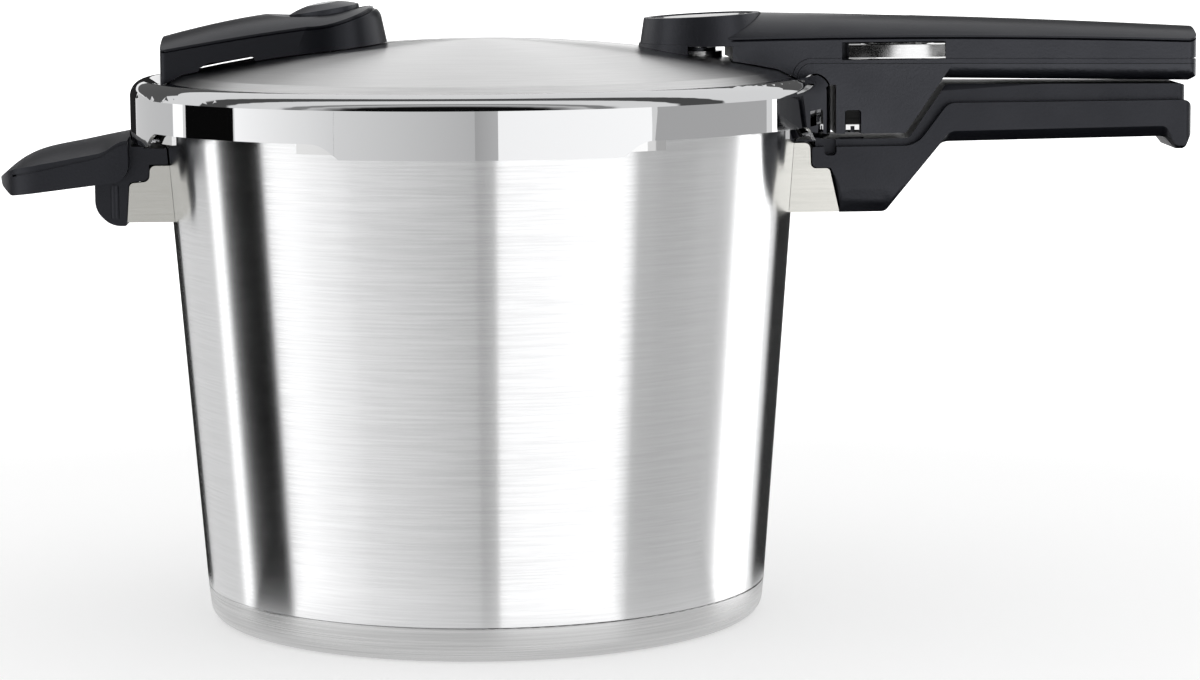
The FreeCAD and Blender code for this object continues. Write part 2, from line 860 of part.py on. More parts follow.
def handle_cover():
    """Crown of the handle, with a thin edge above the shadow groove."""
    bar = lid_handle_plan().common(crown()).cut(box(0, cover_start, -wide, wide, 0, above))
    edge = bar.cut(crown(cover_edge))
    deck = bar.common(lid_handle_plan(cover_step)).cut(crown(cover_sheet))
    boss = rod(spring_boss, spring_seat, ridge_z - cover_sheet, bolt_x, spring_y)
    cover = fuse(fuse(edge, deck).cut(turret(-cover_gap)), boss)
    cover = max(cover.Solids, key=lambda solid: solid.Volume)
    return cover.cut(window_plate(0.0, parting_z))


def shell_stiffening():
    """Cross ribs and screw posts inside the grip."""
    half = rib_sheet / 2
    ribs = [room(x, 0, half, lid_half_width(x) - half, below, above) for x in housing_screw_x]
    posts = [rod(post_radius, below, above, x) for x in housing_screw_x]
    return fuse(*ribs, *posts).common(crown(cover_sheet)).common(lid_handle_plan(cover_step))


def release_slot():
    half = release_length / 2 + release_play
    tall = release_height / 2 + release_play
    start = release_middle - half - release_travel
    return box(start, release_middle + half, -wide, -carriage_half, release_z - tall, release_z + tall)


def handle_shell():
    full = lid_handle_plan()
    bar = full.common(crown(cover_edge + crease))
    bar = bar.cut(full.common(lid_handle_plan(cover_step - snug)).cut(crown(cover_sheet + snug)))
    bar = fuse(bar, full.common(crown()).common(box(0, cover_start, -wide, wide, 0, above)))
    shape = bar.cut(lid_handle_plan(shell_wall).cut(box(0, shell_start, -wide, wide, 0, above)))
    shape = fuse(shape, shell_stiffening(), turret().common(box(0, wide, -wide, wide, claw_bottom, above)))
    shape = shape.cut(parting_wedge())
    bead = parting_wedge(bead_height + bead_groove).cut(parting_wedge(bead_height))
    shape = shape.cut(bead.common(lid_handle_plan(-over).cut(lid_handle_plan(crease))))
    shape = shape.cut(lid_envelope(lid_clear)).cut(release_slot())
    shape = shape.cut(box(slot_start, slot_end, -wide, wide, below, slot_roof))
    shape = shape.cut(box(0, slot_start, -wide, wide, below, turret_foot))
    shape = shape.cut(turret_axis(rod(disc_radius + disc_play, turret_top - disc_depth, above, turret_x)))
    shape = shape.cut(rod(start_room, below, start_top() + start_room_height, start_x))
    shape = shape.cut(rod(handle_shank + disc_play, below, handle_screw_top + 1.0, screw_x))
    for x in housing_screw_x:
        shape = shape.cut(rod(housing_shank, below, parting(x) + housing_grip + over, x))
    return shape


def housing_blank():
    step = shoulder_height + housing_step
    high = parting_z + over
    corners = [
        (arch_x, step),
        (arch_x, high),
        (slope_top_x, high),
        (slope_top_x, parting(slope_top_x)),
        (housing_back, housing_bottom, housing_round),
        (housing_front, housing_bottom),
        (housing_front, step),
    ]
    block = prism(corners, wide).common(lid_handle_plan())
    ends = []
    for x, low in ((slope_top_x - 9, under_root), (handle_end + 1, under_end)):
        half = lid_half_width(x)
        ends.append((x, [(-half, high), (-half, low, grip_round), (half, low, grip_round), (half, high)]))
    grip = tapered(*ends).common(lid_handle_plan())
    tail = [
        (housing_back, below),
        (handle_end - 7, under_end - 3),
        (handle_end + 6, under_end + 6),
        (handle_end + 6, below),
    ]
    return fuse(block, grip.cut(prism(tail, wide)))


def bolt_way():
    """Shaft of the bolt, and the notch in the housing's side that shows it."""
    shaft = room(bolt_x, bolt_y, bolt_width / 2 + bolt_play, bolt_depth / 2 + bolt_play, below, above)
    notch = box(bolt_x - notch_width / 2, bolt_x + notch_width / 2, -wide, bolt_y, below, notch_top)
    top = [e for e in notch.Edges if abs(middle(e).z - notch_top) < snug and abs(middle(e).x - bolt_x) > 1]
    return shaft.fuse(notch.makeFillet(notch_round, top))


def lock_room():
    """Room inside the housing for the bolt's pin, its spring seat, and the carriage with its cam."""
    drop = bolt_travel + pin_room
    pin_low = pin_z - pin_radius - drop
    start_gap = release_travel + carriage_play
    end_gap = carriage_play
    pin_half = pin_radius + pin_room
    pin_way = box(bolt_x - pin_half, bolt_x + pin_half, bolt_y, spring_y, pin_low, above)
    seat_low = pin_z - seat_below - drop
    seat = room(bolt_x, spring_y, seat_half_x + pin_room, seat_half_y + 2 * pin_room, seat_low, above)
    cam = box(
        cam_start - start_gap,
        cam_end + end_gap,
        cam_y - carriage_play,
        cam_y + cam_sheet + carriage_play,
        cam_low - carriage_play,
        above,
    )
    half = carriage_half + 2 * carriage_play
    deck_low = carriage_low - carriage_play
    deck = box(carriage_start - start_gap, carriage_end + end_gap, -half, half, deck_low, above)
    return [pin_way, seat, cam, deck]


def handle_housing():
    shape = housing_blank().common(parting_wedge(-parting_gap))
    shape = shape.cut(lid_envelope(lid_clear)).cut(bolt_way())
    for part in lock_room():
        shape = shape.cut(part)
    for x in housing_screw_x:
        head_room = rod(housing_head + screw_play, below, parting(x) - housing_cover, x)
        shape = shape.cut(head_room).cut(rod(housing_shank + screw_play, below, above, x))
    return shape


def handle_foot():
    foot = turret(-foot_rim).common(box(0, slot_start, -wide, wide, claw_bottom, turret_foot - 0.05))
    return foot.cut(lid_envelope(0.05)).cut(rod(start_land + 0.2, below, above, start_x))


def positioning_disc():
    low = turret_top - disc_depth + snug
    rim = low + disc_depth - 0.5
    dish = turned(
        [
            (0, low),
            (disc_radius, low),
            (disc_radius, rim, 0.4),
            (disc_radius - 1.0, rim, 0.3),
            (disc_radius - 3.2, low + disc_sheet, 1.5),
            (0, low + disc_sheet),
        ]
    )
    dish.translate(V(turret_x, 0, 0))
    return turret_axis(dish)


# --- lock: slide, bolt, spring, flag -----------------------------------------------------------------
def release_slide():
    start = release_middle - release_length / 2
    end = release_middle + release_length / 2
    low = release_z - release_height / 2
    top = release_z + release_height / 2
    face = -lid_half_width(release_middle) - release_stand
    near = face + release_bevel
    section = [
        (slide_back, low),
        (near, low, 0.4),
        (face, low + 0.9, 0.4),
        (face, top - release_bevel, 0.5),
        (near, top, 0.5),
        (slide_back, top),
    ]
    bar = Part.Face(outline(section, lambda p: V(start, p.x, p.y))).extrude(V(end - start, 0, 0))
    ends = [
        (start, slide_back + over),
        (start, near),
        (start + 1.2, face - 1),
        (end - 1.2, face - 1),
        (end, near),
        (end, slide_back + over),
    ]
    return bar.common(plate(ends, low - over, top + over))


def cam_slot():
    """The slanted slot that pushes the bolt's pin down as the carriage slides."""
    high_x, high_z = bolt_x, pin_z
    low_x, low_z = bolt_x + release_travel, pin_z - bolt_travel
    reach = pin_radius + pin_play
    length = math.hypot(low_x - high_x, low_z - high_z)
    side_x = reach * (high_z - low_z) / length
    side_z = reach * (low_x - high_x) / length
    corners = [
        (high_x - side_x, high_z - side_z),
        (high_x + side_x, high_z + side_z),
        (low_x + side_x, low_z + side_z),
        (low_x - side_x, low_z - side_z),
    ]
    slot = prism(corners, cam_sheet * 2, cam_y)
    for x, z in ((high_x, high_z), (low_x, low_z)):
        end = Part.makeCylinder(reach, cam_sheet * 4, V(x, cam_y - cam_sheet * 2, z), V(0, 1, 0))
        slot = slot.fuse(end)
    return slot


def slide_carriage():
    top = release_z + release_height / 2 - carriage_play
    half = carriage_half
    body = box(carriage_start, carriage_end, -half, half, carriage_low, top)
    neck = box(release_middle - 7, release_middle + 7, slide_back, weld - half, release_z - 2, release_z + 2)
    post = room(window_x, 0, flag_half, flag_half - 0.5, top - weld, flag_low)
    cam = box(cam_start, cam_end, cam_y, cam_y + cam_sheet, cam_low, top)
    return fuse(body, neck, post, cam).cut(cam_slot())


def lock_flag():
    half = window_length / 2 - release_travel + 0.5
    corners = [
        (window_x - half, -flag_half, 1.0),
        (window_x + half, -flag_half, 1.0),
        (window_x + half, flag_half, 1.0),
        (window_x - half, flag_half, 1.0),
    ]
    return plate(corners, flag_low, flag_low + flag_sheet)


def indicator_window():
    return window_plate(window_play, flag_low + flag_sheet + 0.5).common(crown(window_sink))


def lock_bolt():
    low = housing_bottom + bolt_lift
    blade = room(bolt_x, bolt_y, bolt_width / 2, bolt_depth / 2, low, low + bolt_length)
    blade = blade.makeChamfer(bolt_chamfer, [e for e in blade.Edges if middle(e).z < low + snug])
    blade = blade.cut(box(bolt_x - 0.7, bolt_x + 0.7, -wide, wide, low - over, low + 2.2))
    pin = Part.makeCylinder(pin_radius, spring_y - bolt_y, V(bolt_x, bolt_y, pin_z), V(0, 1, 0))
    seat = room(bolt_x, spring_y, seat_half_x, seat_half_y, pin_z - seat_below, pin_z + seat_above)
    return fuse(blade, pin, seat)


def coil(radius, wire, low, high, turns):
    rise = high - low - wire
    helix = Part.makeHelix(rise / turns, rise, radius)
    helix.translate(V(0, 0, low + wire / 2))
    circle = Part.Wire(Part.Circle(V(radius, 0, low + wire / 2), V(0, 1, 0), wire / 2).toShape())
    return Part.Wire(helix).makePipeShell([circle], True, True)


def lock_spring():
    spring = coil(spring_radius, spring_wire, pin_z + seat_above + 0.05, spring_seat, spring_turns)
    spring.translate(V(bolt_x, spring_y, 0))
    return spring


# --- screws of the lid handle ------------------------------------------------------------------------
def handle_screw():
    under = dome_z(screw_x) - lid_sheet - washer_sheet
    low = under - handle_head_height
    head = rod(handle_head, low, under, screw_x)
    shank = rod(handle_shank, under - weld, handle_screw_top, screw_x)
    drive = room(screw_x, 0, handle_head + over, drive_slot / 2, low - over, low + 1.0)
    return fuse(head, shank).cut(drive)


def handle_washer():
    """A washer under the dome, cut to the dome's underside."""
    under = dome_z(screw_x) - lid_sheet - washer_sheet
    washer = ring(handle_head + 0.6, handle_shank + 0.15, under, under + 3 * washer_sheet, screw_x)
    return washer.common(lid_envelope(-lid_sheet - 0.05))


def housing_screws():
    screws = []
    for x in housing_screw_x:
        seat = parting(x) - housing_cover
        head = rod(housing_head, seat - housing_head_height, seat, x)
        shank = rod(housing_shank, seat - weld, parting(x) + housing_grip, x)
        screws.append(fuse(head, shank))
    return Part.makeCompound(screws)


# --- what both handles share: flame guard, bracket, screw --------------------------------------------
def guard_blank(line, bottom, side):
    top = line[0][1]
    inner = side * seam_radius / 2
    upper = [(inner, top), (line[0][0], top, 2.0)]
    lower = [(line[3][0], bottom, 0.6), (inner, bottom)]
    return prism(upper + line[1:3] + lower, guard_half)


def guard(line, bottom, side):
    """A sheet sleeve: two cheeks with a stepped edge, and a web below and above, open to pot and handle."""
    low = bottom + guard_sheet
    high = line[0][1] - guard_sheet
    near = side * seam_radius / 2
    far = side * wide
    inside = prism([(near, low), (far, low), (far, high), (near, high)], guard_half - guard_sheet)
    return guard_blank(line, bottom, side).cut(inside).cut(pot_solid(snug))


def bracket(z):
    """A plate spot-welded to the wall, with a threaded stud for the handle's screw."""
    tall = bracket_tall / 2
    plate_ = box(0, wide, -bracket_half, bracket_half, z - tall, z + tall).common(pot_solid(bracket_sheet))
    stud = level_rod(stud_radius, seam_radius, pot_top_radius + stud_reach, z)
    bore = level_rod(shank_radius + shank_fit, 0, wide, z)
    return fuse(plate_, stud).cut(pot_solid(snug)).cut(bore)


def screw_channel(z, reach):
    """Room for the bracket, its stud, the screw's shank and its head."""
    head = pot_top_radius + reach
    tall = bracket_tall / 2 + pocket_play
    half = bracket_half + pocket_play
    return fuse(
        level_rod(stud_radius + screw_play, seam_radius, pot_top_radius + stud_reach + pocket_play, z),
        level_rod(shank_radius + 2 * screw_play, seam_radius, head + over, z),
        level_rod(head_radius + screw_play, head, wide, z),
        box(seam_radius, pot_top_radius, -half, half, z - tall, z + tall),
    )


def screw(z, reach):
    start = pot_radius(z) + screw_end_gap
    head = pot_top_radius + reach
    shank = level_rod(shank_radius, start, head, z)
    cap = level_rod(head_radius, head, head + head_height, z)
    slot_depth = head + head_height - slot_sink
    drive = box(slot_depth, wide, -2 * head_radius, 2 * head_radius, z - drive_slot / 2, z + drive_slot / 2)
    return fuse(shank, cap).cut(drive)


# --- pot handle --------------------------------------------------------------------------------------
def guard_line(gap=0.0):
    """Stepped outer line of the long handle's flame guard, from its top to its foot."""
    wall = pot_top_radius + gap
    step = guard_top - guard_step_drop + gap
    return [
        (wall + guard_neck, guard_top + gap),
        (wall + guard_neck + guard_lean, step, 1.8),
        (wall + guard_step, step, 1.4),
        (wall + guard_foot, guard_bottom),
    ]


def pot_handle_guard():
    return guard(guard_line(), guard_bottom, 1)


def pot_handle_bracket():
    return bracket(pot_screw_z)


def pot_handle_screw():
    return screw(pot_screw_z, head_reach)


def pot_half_width(x):
    root = pot_top_radius + pot_handle_root
    share = (x - root) / (pot_handle_end - root)
    return pot_handle_half + (pot_handle_end_half - pot_handle_half) * share


def pot_handle_plan(inset=0.0):
    start = seam_radius
    root = pot_half_width(start) - inset
    half = pot_handle_end_half - inset
    end = pot_handle_end - inset / 2
    return plate([(start, -root), (end, -half, 3.0), (end, half, 3.0), (start, root)], below, above)


def pot_handle_rib():
    """Upper middle part of the handle, which follows the lid's housing at a small gap."""
    slope = V(slope_top_x - housing_back, 0, parting(slope_top_x) - housing_bottom).normalize()
    start = V(housing_back + slope.z * handle_gap, 0, housing_bottom - slope.x * handle_gap)
    low_x = start.x + slope.x / slope.z * (pot_handle_deck - start.z)
    high_x = start.x + slope.x / slope.z * (pot_handle_top - start.z)
    root = pot_top_radius + guard_neck + over
    foot = guard_top + guard_gap
    corners = [
        (seam_radius, pot_handle_deck),
        (low_x, pot_handle_deck, 3.0),
        (high_x, pot_handle_top, 3.0),
        (pot_handle_end, pot_handle_top_end, 4.0),
        (pot_handle_end, pot_handle_ledge - 6),
        (slope_top_x + 5, pot_handle_ledge - 6),
        (housing_back + 4, pot_handle_ledge_low - 6),
        (root, pot_handle_ledge_low - 6),
        (root, foot),
        (seam_radius, foot),
    ]
    return prism(corners, wide).common(pot_handle_plan(ledge_inset))


def pot_handle_side(foot, slope_low, slope_high, grip, toe):
    """Side view of the handle at one depth: height of its foot, ends of the slope up to the grip, and how far
    grip and toe lie below the pot's rim."""
    line = guard_line(guard_gap)
    far = pot_handle_end
    return [
        (line[1][0], pot_handle_ledge_low, 1.0),
        (housing_back + 3.6, pot_handle_ledge_low, 9.0),
        (slope_top_x - 1.8, pot_handle_ledge, 5.0),
        (far, pot_handle_ledge, 3.0),
        (far, rim_top - toe + 5.0, 3.0),
        (far - 2.0, rim_top - toe, 1.4),
        (far - 5.4, rim_top - toe, 1.4),
        (far - 9.0, rim_top - grip + 0.8, 3.0),
        (slope_top_x - slope_high, rim_top - grip, 5.0),
        (housing_back - slope_low, foot, 3.0),
        (line[3][0], foot),
        line[2],
        line[1],
    ]


def guard_notch():
    """Notch in the rib behind the flame guard."""
    low = rim_top - notch_low_drop
    start = pot_top_radius + notch_reach
    end = start + notch_long
    notch = box(start, end, -wide, -notch_half, low, pot_handle_deck + over)
    centre = (start + end) / 2
    foot = [e for e in notch.Edges if abs(middle(e).z - low) < snug and abs(middle(e).x - centre) > 1]
    return notch.makeFillet(1.4, foot)


def bolt_catch():
    """Pocket in the rib's deck for the tip of the lock bolt, which stops against its outer wall."""
    start = bolt_x - bolt_width / 2 - catch_room
    end = bolt_x + bolt_width / 2 + catch_room
    outer = bolt_y - bolt_depth / 2 - catch_play
    inner = bolt_y + bolt_depth / 2 + catch_back
    return box(start, end, outer, inner, pot_handle_deck - catch_depth, pot_handle_deck + over)


def pot_handle():
    sides = [
        (0.0, pot_handle_side(pot_handle_bottom + pot_handle_flat, 0.5, 1.4, 7.3, 13.4)),
        (flank_depth / 3, pot_handle_side(pot_handle_bottom + pot_handle_flat * 0.4, 4.4, 2.6, 9.4, 14.2)),
        (flank_depth, pot_handle_side(pot_handle_bottom, 6.9, 3.8, 11.1, 14.7)),
    ]
    shape = flank(sides, pot_half_width)
    shape = fuse(shape, pot_handle_rib()).common(pot_handle_plan())
    shape = shape.cut(pot_solid(guard_gap)).cut(guard_notch()).cut(bolt_catch())
    return shape.cut(screw_channel(pot_screw_z, head_reach))


# --- helper handle -----------------------------------------------------------------------------------
def helper_x(reach):
    """Place on the helper handle's side, from the top of the pot's wall outwards."""
    return -(pot_top_radius + reach)


def helper_line(gap=0.0):
    """Stepped outer line of the helper handle's flame guard, from its top to its foot."""
    step = helper_guard_top - helper_guard_step_drop + gap
    return [
        (helper_x(helper_guard_neck + gap), helper_guard_top + gap),
        (helper_x(helper_guard_neck + guard_lean + gap), step, 2.2),
        (helper_x(helper_guard_step + gap), step - 0.6, 1.6),
        (helper_x(helper_guard_foot + gap), helper_guard_bottom),
    ]


def helper_guard():
    return guard(helper_line(), helper_guard_bottom, -1)


def helper_bracket():
    return mirrored(bracket(helper_screw_z))


def helper_screw():
    return mirrored(screw(helper_screw_z, helper_head_reach))


def helper_crown():
    """Everything below the wing's crowned top."""
    wires = []
    for reach, crease_drop, ridge_drop in helper_top:
        crease_z = rim_top - crease_drop
        wires.append(crowned_section(helper_x(reach), helper_half, crease_z, rim_top - ridge_drop, 0))
    return Part.makeLoft(wires, True, False)


def helper_groove():
    """A thin slab below the crease, right across the wing."""
    lines = []
    for lower in (crease - 0.1, 2 * crease):
        points = [V(helper_x(reach), -wide, rim_top - drop - lower) for reach, drop, ridge in helper_top[2:]]
        curve = Part.BSplineCurve()
        curve.interpolate(points)
        lines.append(curve.toShape())
    ends = [Part.makeLine(lines[0].Vertexes[at].Point, lines[1].Vertexes[at].Point) for at in (0, 1)]
    wire = Part.Wire(Part.__sortEdges__([lines[0], ends[0], lines[1], ends[1]]))
    return Part.Face(wire).extrude(V(0, 2 * wide, 0))


def helper_plan(inset=0.0):
    root = helper_half - inset
    tip_half = helper_tip_half - inset
    start = helper_x(-groove_inset)
    shoulder = helper_x(helper_shoulder)
    tip = helper_x(helper_reach) + inset
    corners = [
        (start, -root),
        (shoulder, -root, 3.0),
        (tip, -tip_half, helper_tip_round),
        (tip, tip_half, helper_tip_round),
        (shoulder, root, 3.0),
        (start, root),
    ]
    return plate(corners, below, above)


def helper_wing():
    """Side view of the wing: a round inner end, a straight rising underside and a blunt tip."""
    root = helper_x(helper_root_reach)
    tip = helper_x(helper_reach)
    return prism(
        [
            (root, above),
            (root, rim_top - helper_root_drop, 6.0),
            (tip + 4.6, rim_top - helper_tip_drop, 1.8),
            (tip + 0.9, rim_top - helper_tip_drop + 3.3, 2.4),
            (tip - 3, rim_top - helper_tip_drop + 18.3),
            (tip - 3, above),
        ],
        wide,
    )


def helper_neck():
    """The part between wing and guard, with a rounded belly behind the guard and a collar up to the lid."""
    line = helper_line(guard_gap)
    back = helper_x(helper_back_reach)
    foot = helper_guard_top + guard_gap
    collar = helper_x(-6.56)
    return prism(
        [
            (line[0][0], foot),
            line[1],
            line[2],
            (line[3][0], helper_belly, 0.6),
            (back + belly_chamfer, helper_belly, belly_round),
            (back, helper_belly + belly_chamfer, belly_round),
            (back, rim_top - 19.0),
            (back + 3.0, rim_top - 8.0),
            (helper_x(11.44), rim_top - 6.0),
            (helper_x(5.44), rim_top - 5.2),
            (helper_x(5.44), rim_top - 10.4),
            (helper_x(-2.56), rim_top - 10.6, 1.5),
            (collar, rim_top - 11.2),
            (collar, foot),
        ],
        helper_neck_half,
    ).common(helper_crown())


def helper_handle():
    upper = helper_plan().common(helper_wing()).common(helper_crown())
    upper = upper.cut(helper_groove().cut(helper_plan(crease + 0.1)))
    rib_y = helper_neck_half - 0.9
    rib_low = helper_belly + 2.6
    ribs = [rod(1.7, rib_low, rib_low + 11.5, helper_x(15.64), y) for y in (-rib_y, rib_y)]
    shape = fuse(upper, helper_neck(), *ribs)
    shape = shape.cut(pot_solid(guard_gap)).cut(lid_envelope(lid_clear))
    return shape.cut(mirrored(screw_channel(helper_screw_z, helper_head_reach)))


# --- pressure valve ----------------------------------------------------------------------------------
def valve_frame(shape):
    """Places a shape built on the Z axis, with its land at height 0, onto the valve's leaning axis."""
    shape = shape.copy()
    shape.rotate(V(0, 0, 0), V(0, 1, 0), valve_tilt)
    shape.translate(V(valve_x, 0, dome_z(valve_x) + valve_rise))
    return shape


def valve_body():
    tube = rod(valve_hole - valve_thread_play, -valve_depth, dial_foot - 1.4)
    flange = rod(valve_flange, 0.0, 2.0)
    bore = rod(valve_bore, -valve_depth - over, 0.3)
    neck = rod(stem_radius + stem_play, 0.0, dial_foot)
    return valve_frame(fuse(tube, flange).cut(bore).cut(neck))


def valve_gasket():
    return valve_frame(ring(valve_flange + 0.1, valve_hole, -lid_sheet - gasket_sheet, -lid_sheet))


def valve_nut():
    high = -lid_sheet - gasket_sheet
    bore = rod(valve_hole - valve_thread_play + valve_fit, -through, through)
    return valve_frame(hexagon(nut_across, high - nut_height, high).cut(bore))


def valve_stem():
    low = 1.0 - valve_depth
    piston = rod(valve_bore - valve_fit, low, low + piston_height)
    shank = rod(stem_radius, low + piston_height - weld, dial_shoulder + cap_seat)
    return valve_frame(fuse(piston, shank))


def dial_dome_z(radius):
    rise = dial_top - dial_shoulder
    sphere = (dial_radius**2 + rise**2) / (2 * rise)
    return dial_top - (sphere - math.sqrt(sphere**2 - radius**2))


def pressure_cap():
    """The dial's middle, which the stem lifts."""
    edge = cap_radius - dial_play
    low = dial_shoulder + cap_seat
    steps = [(edge, low), (edge, dial_dome_z(edge)), (edge / 2, dial_dome_z(edge / 2), 0, dial_top)]
    return valve_frame(spun(path((0, low), steps)))


def valve_dial():
    mid = dial_radius / 2
    steps = [(dial_radius, dial_foot), (dial_radius, dial_shoulder), (mid, dial_dome_z(mid), 0, dial_top)]
    body = spun(path((0, dial_foot), steps))
    body = body.cut(rod(cap_radius, dial_shoulder, dial_top + over))
    body = body.cut(rod(stem_radius + stem_play + valve_fit, 0, dial_top))
    hollow = ring(dial_radius - dial_wall, 2 * stem_radius, dial_foot - over, dial_shoulder - dial_wall - 0.2)
    return valve_frame(body.cut(hollow))


def cover_crown(inset=0.0):
    """Everything below the cover's crowned top, moved down by inset."""
    wires = []
    for x, rise in cover_ridge:
        crease_z = lid_top - cover_crease_drop + cover_rise * (x - cover_crease_x)
        wires.append(crowned_section(x, cover_half, crease_z, lid_top + rise, inset))
    return Part.makeLoft(wires, True, False)


def cover_plan(inset=0.0):
    """Drafted plan: straight tapering sides, and a round inner end that leans inwards."""
    level = lid_top - cover_level
    top = level + cover_end_rise
    foot_radius = cover_round_radius + cover_draft * (level - claw_bottom) - inset
    top_radius = cover_round_radius - cover_draft * cover_end_rise - inset
    end = turned([(0, claw_bottom), (foot_radius, claw_bottom), (top_radius, top, cover_end_round), (0, top)])
    end.translate(V(cover_middle, 0, 0))
    left = cover_end + inset
    right = cover_middle + 2 * over
    wires = []
    for z in (claw_bottom, above):
        draft = 0.4 * cover_draft * (level - z)
        root = cover_half + draft - inset
        half = cover_end_half + 0.6 * draft - inset
        corners = [(left, -half, 2.2), (right, -root), (right, root), (left, half, 2.2)]
        wires.append(outline(corners, lambda p, z=z: V(p.x, p.y, z)))
    sides = Part.makeLoft(wires, True, True).common(box(-wide, cover_middle + over, -wide, wide, 0, above))
    return fuse(end, sides)


def steam_outlet():
    corners = [(cover_end + corner[0], lid_top - corner[1], *corner[2:]) for corner in outlet]
    start = (cover_end + outlet[0][0] - 3.0, below)
    end = (corners[-1][0], below)
    return prism([start] + corners + [end], outlet_half, outlet_y)


def valve_cover():
    outer = cover_plan().common(cover_crown())
    shape = outer.cut(cover_plan(cover_wall).common(cover_crown(cover_wall)))
    room_radius = dial_radius + dial_play
    collar = valve_frame(rod(room_radius + collar_wall, dial_foot - 2.4, dial_top)).common(outer)
    shape = fuse(shape, collar).cut(lid_envelope(lid_clear))
    groove = cover_crown(crease - 0.1).cut(cover_crown(2 * crease)).cut(cover_plan(crease + 0.1))
    shape = shape.cut(groove).cut(valve_frame(rod(room_radius, dial_foot - 3.4, through + dial_top)))
    centre = V(cover_middle - scoop_out, 0, lid_top + scoop_rise + scoop_radius)
    return shape.cut(Part.makeSphere(scoop_radius, centre)).cut(steam_outlet())


# --- automatic start valve ---------------------------------------------------------------------------
def start_top():
    """Height of its land on the dome."""
    return dome_z(start_x) + start_rise


def start_body():
    top = start_top()
    tube = ring(start_hole - 0.15, start_bore, top - start_depth, top, start_x)
    flange = ring(start_flange, start_bore, top, top + start_flange_sheet, start_x)
    return fuse(tube, flange)


def start_gasket():
    top = start_top() - lid_sheet
    return ring(start_flange + 0.6, start_hole - 0.1, top - gasket_sheet - 0.2, top, start_x)


def start_pin():
    """A pin with a head below and a collar above, held at rest on its collar."""
    seat = start_top() + start_flange_sheet + start_play
    low = start_top() - start_depth - start_travel - 0.5
    shank = rod(start_bore - start_fit, low, seat + weld, start_x)
    head = rod(start_head, low - 1.5, low + 0.1, start_x)
    collar = rod(start_head, seat, seat + 1.15, start_x)
    return fuse(shank, head, collar)


NODES = {
    "pot_body": pot_body,
    "base_core": base_core,
    "base_cap": base_cap,
    "pot_handle_bracket": pot_handle_bracket,
    "pot_handle_flame_guard": pot_handle_guard,
    "pot_handle": pot_handle,
    "pot_handle_screw": pot_handle_screw,
    "helper_handle_bracket": helper_bracket,
    "helper_flame_guard": helper_guard,
    "helper_handle": helper_handle,
    "helper_handle_screw": helper_screw,
    "lid_shell": lid_shell,
    "sealing_ring": sealing_ring,
    "lid_handle_shell": handle_shell,
    "lid_handle_crown": handle_cover,
    "lid_handle_housing": handle_housing,
    "lid_handle_foot": handle_foot,
    "lid_handle_screw": handle_screw,
    "lid_handle_washer": handle_washer,
    "housing_screws": housing_screws,
    "positioning_disc": positioning_disc,
    "release_slide": release_slide,
    "slide_carriage": slide_carriage,
    "lock_flag": lock_flag,
    "indicator_window": indicator_window,
    "lock_bolt": lock_bolt,
    "lock_spring": lock_spring,
    "valve_cover": valve_cover,
    "valve_body": valve_body,
    "valve_gasket": valve_gasket,
    "valve_nut": valve_nut,
    "valve_stem": valve_stem,
    "valve_dial": valve_dial,
    "pressure_cap": pressure_cap,
    "start_valve_body": start_body,
    "start_valve_gasket": start_gasket,
    "start_valve_pin": start_pin,
}


def main():
    os.makedirs("parts", exist_ok=True)
    for name, make in NODES.items():
        shape = make()
        shape.exportStep(f"parts/{name}.step")
        print(f"{name}: {len(shape.Solids)} solid, valid {shape.isValid()}, {shape.Volume:.1f} mm3")


main()
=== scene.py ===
import math

import bpy
from mathutils import Matrix, Vector


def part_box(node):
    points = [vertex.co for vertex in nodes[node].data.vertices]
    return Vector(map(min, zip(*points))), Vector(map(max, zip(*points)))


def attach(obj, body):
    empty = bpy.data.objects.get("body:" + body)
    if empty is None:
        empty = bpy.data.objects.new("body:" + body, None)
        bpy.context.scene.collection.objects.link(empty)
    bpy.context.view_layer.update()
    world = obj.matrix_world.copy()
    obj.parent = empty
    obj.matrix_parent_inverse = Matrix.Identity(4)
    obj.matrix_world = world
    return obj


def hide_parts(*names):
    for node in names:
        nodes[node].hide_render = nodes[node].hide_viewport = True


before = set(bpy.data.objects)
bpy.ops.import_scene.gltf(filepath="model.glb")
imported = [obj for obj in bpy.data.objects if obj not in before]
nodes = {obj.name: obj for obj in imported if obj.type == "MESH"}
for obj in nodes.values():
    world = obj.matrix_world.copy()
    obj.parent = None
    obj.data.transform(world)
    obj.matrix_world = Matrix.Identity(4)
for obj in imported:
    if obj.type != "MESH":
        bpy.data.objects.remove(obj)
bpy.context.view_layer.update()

bpy.ops.object.select_all(action="DESELECT")

MM = 0.001
UPRIGHT = math.radians(90)


# ---------------------------------------------------------------- camera

CAMERA_PLACE = (1.647, -1280.106, 257.823)  # millimetres
CAMERA_FORWARD = (0.03029422, 0.99153765, -0.1262353)
CAMERA_UP = (0.01187818, 0.12592722, 0.99196837)
LENS = 109.92
SENSOR_WIDTH = 36.0
NEAREST, FARTHEST = 0.05, 100.0  # metres


def set_camera():
    forward = Vector(CAMERA_FORWARD).normalized()
    right = forward.cross(Vector(CAMERA_UP).normalized()).normalized()
    up = right.cross(forward).normalized()
    turn = Matrix((right, up, -forward)).transposed().to_4x4()
    bpy.ops.object.camera_add()
    camera = bpy.context.object
    camera.name = "product_camera"
    camera.matrix_world = Matrix.Translation(Vector(CAMERA_PLACE) * MM) @ turn
    camera.data.lens = LENS
    camera.data.sensor_width = SENSOR_WIDTH
    camera.data.clip_start = NEAREST
    camera.data.clip_end = FARTHEST
    bpy.context.scene.camera = camera


# ---------------------------------------------------------------- node helpers

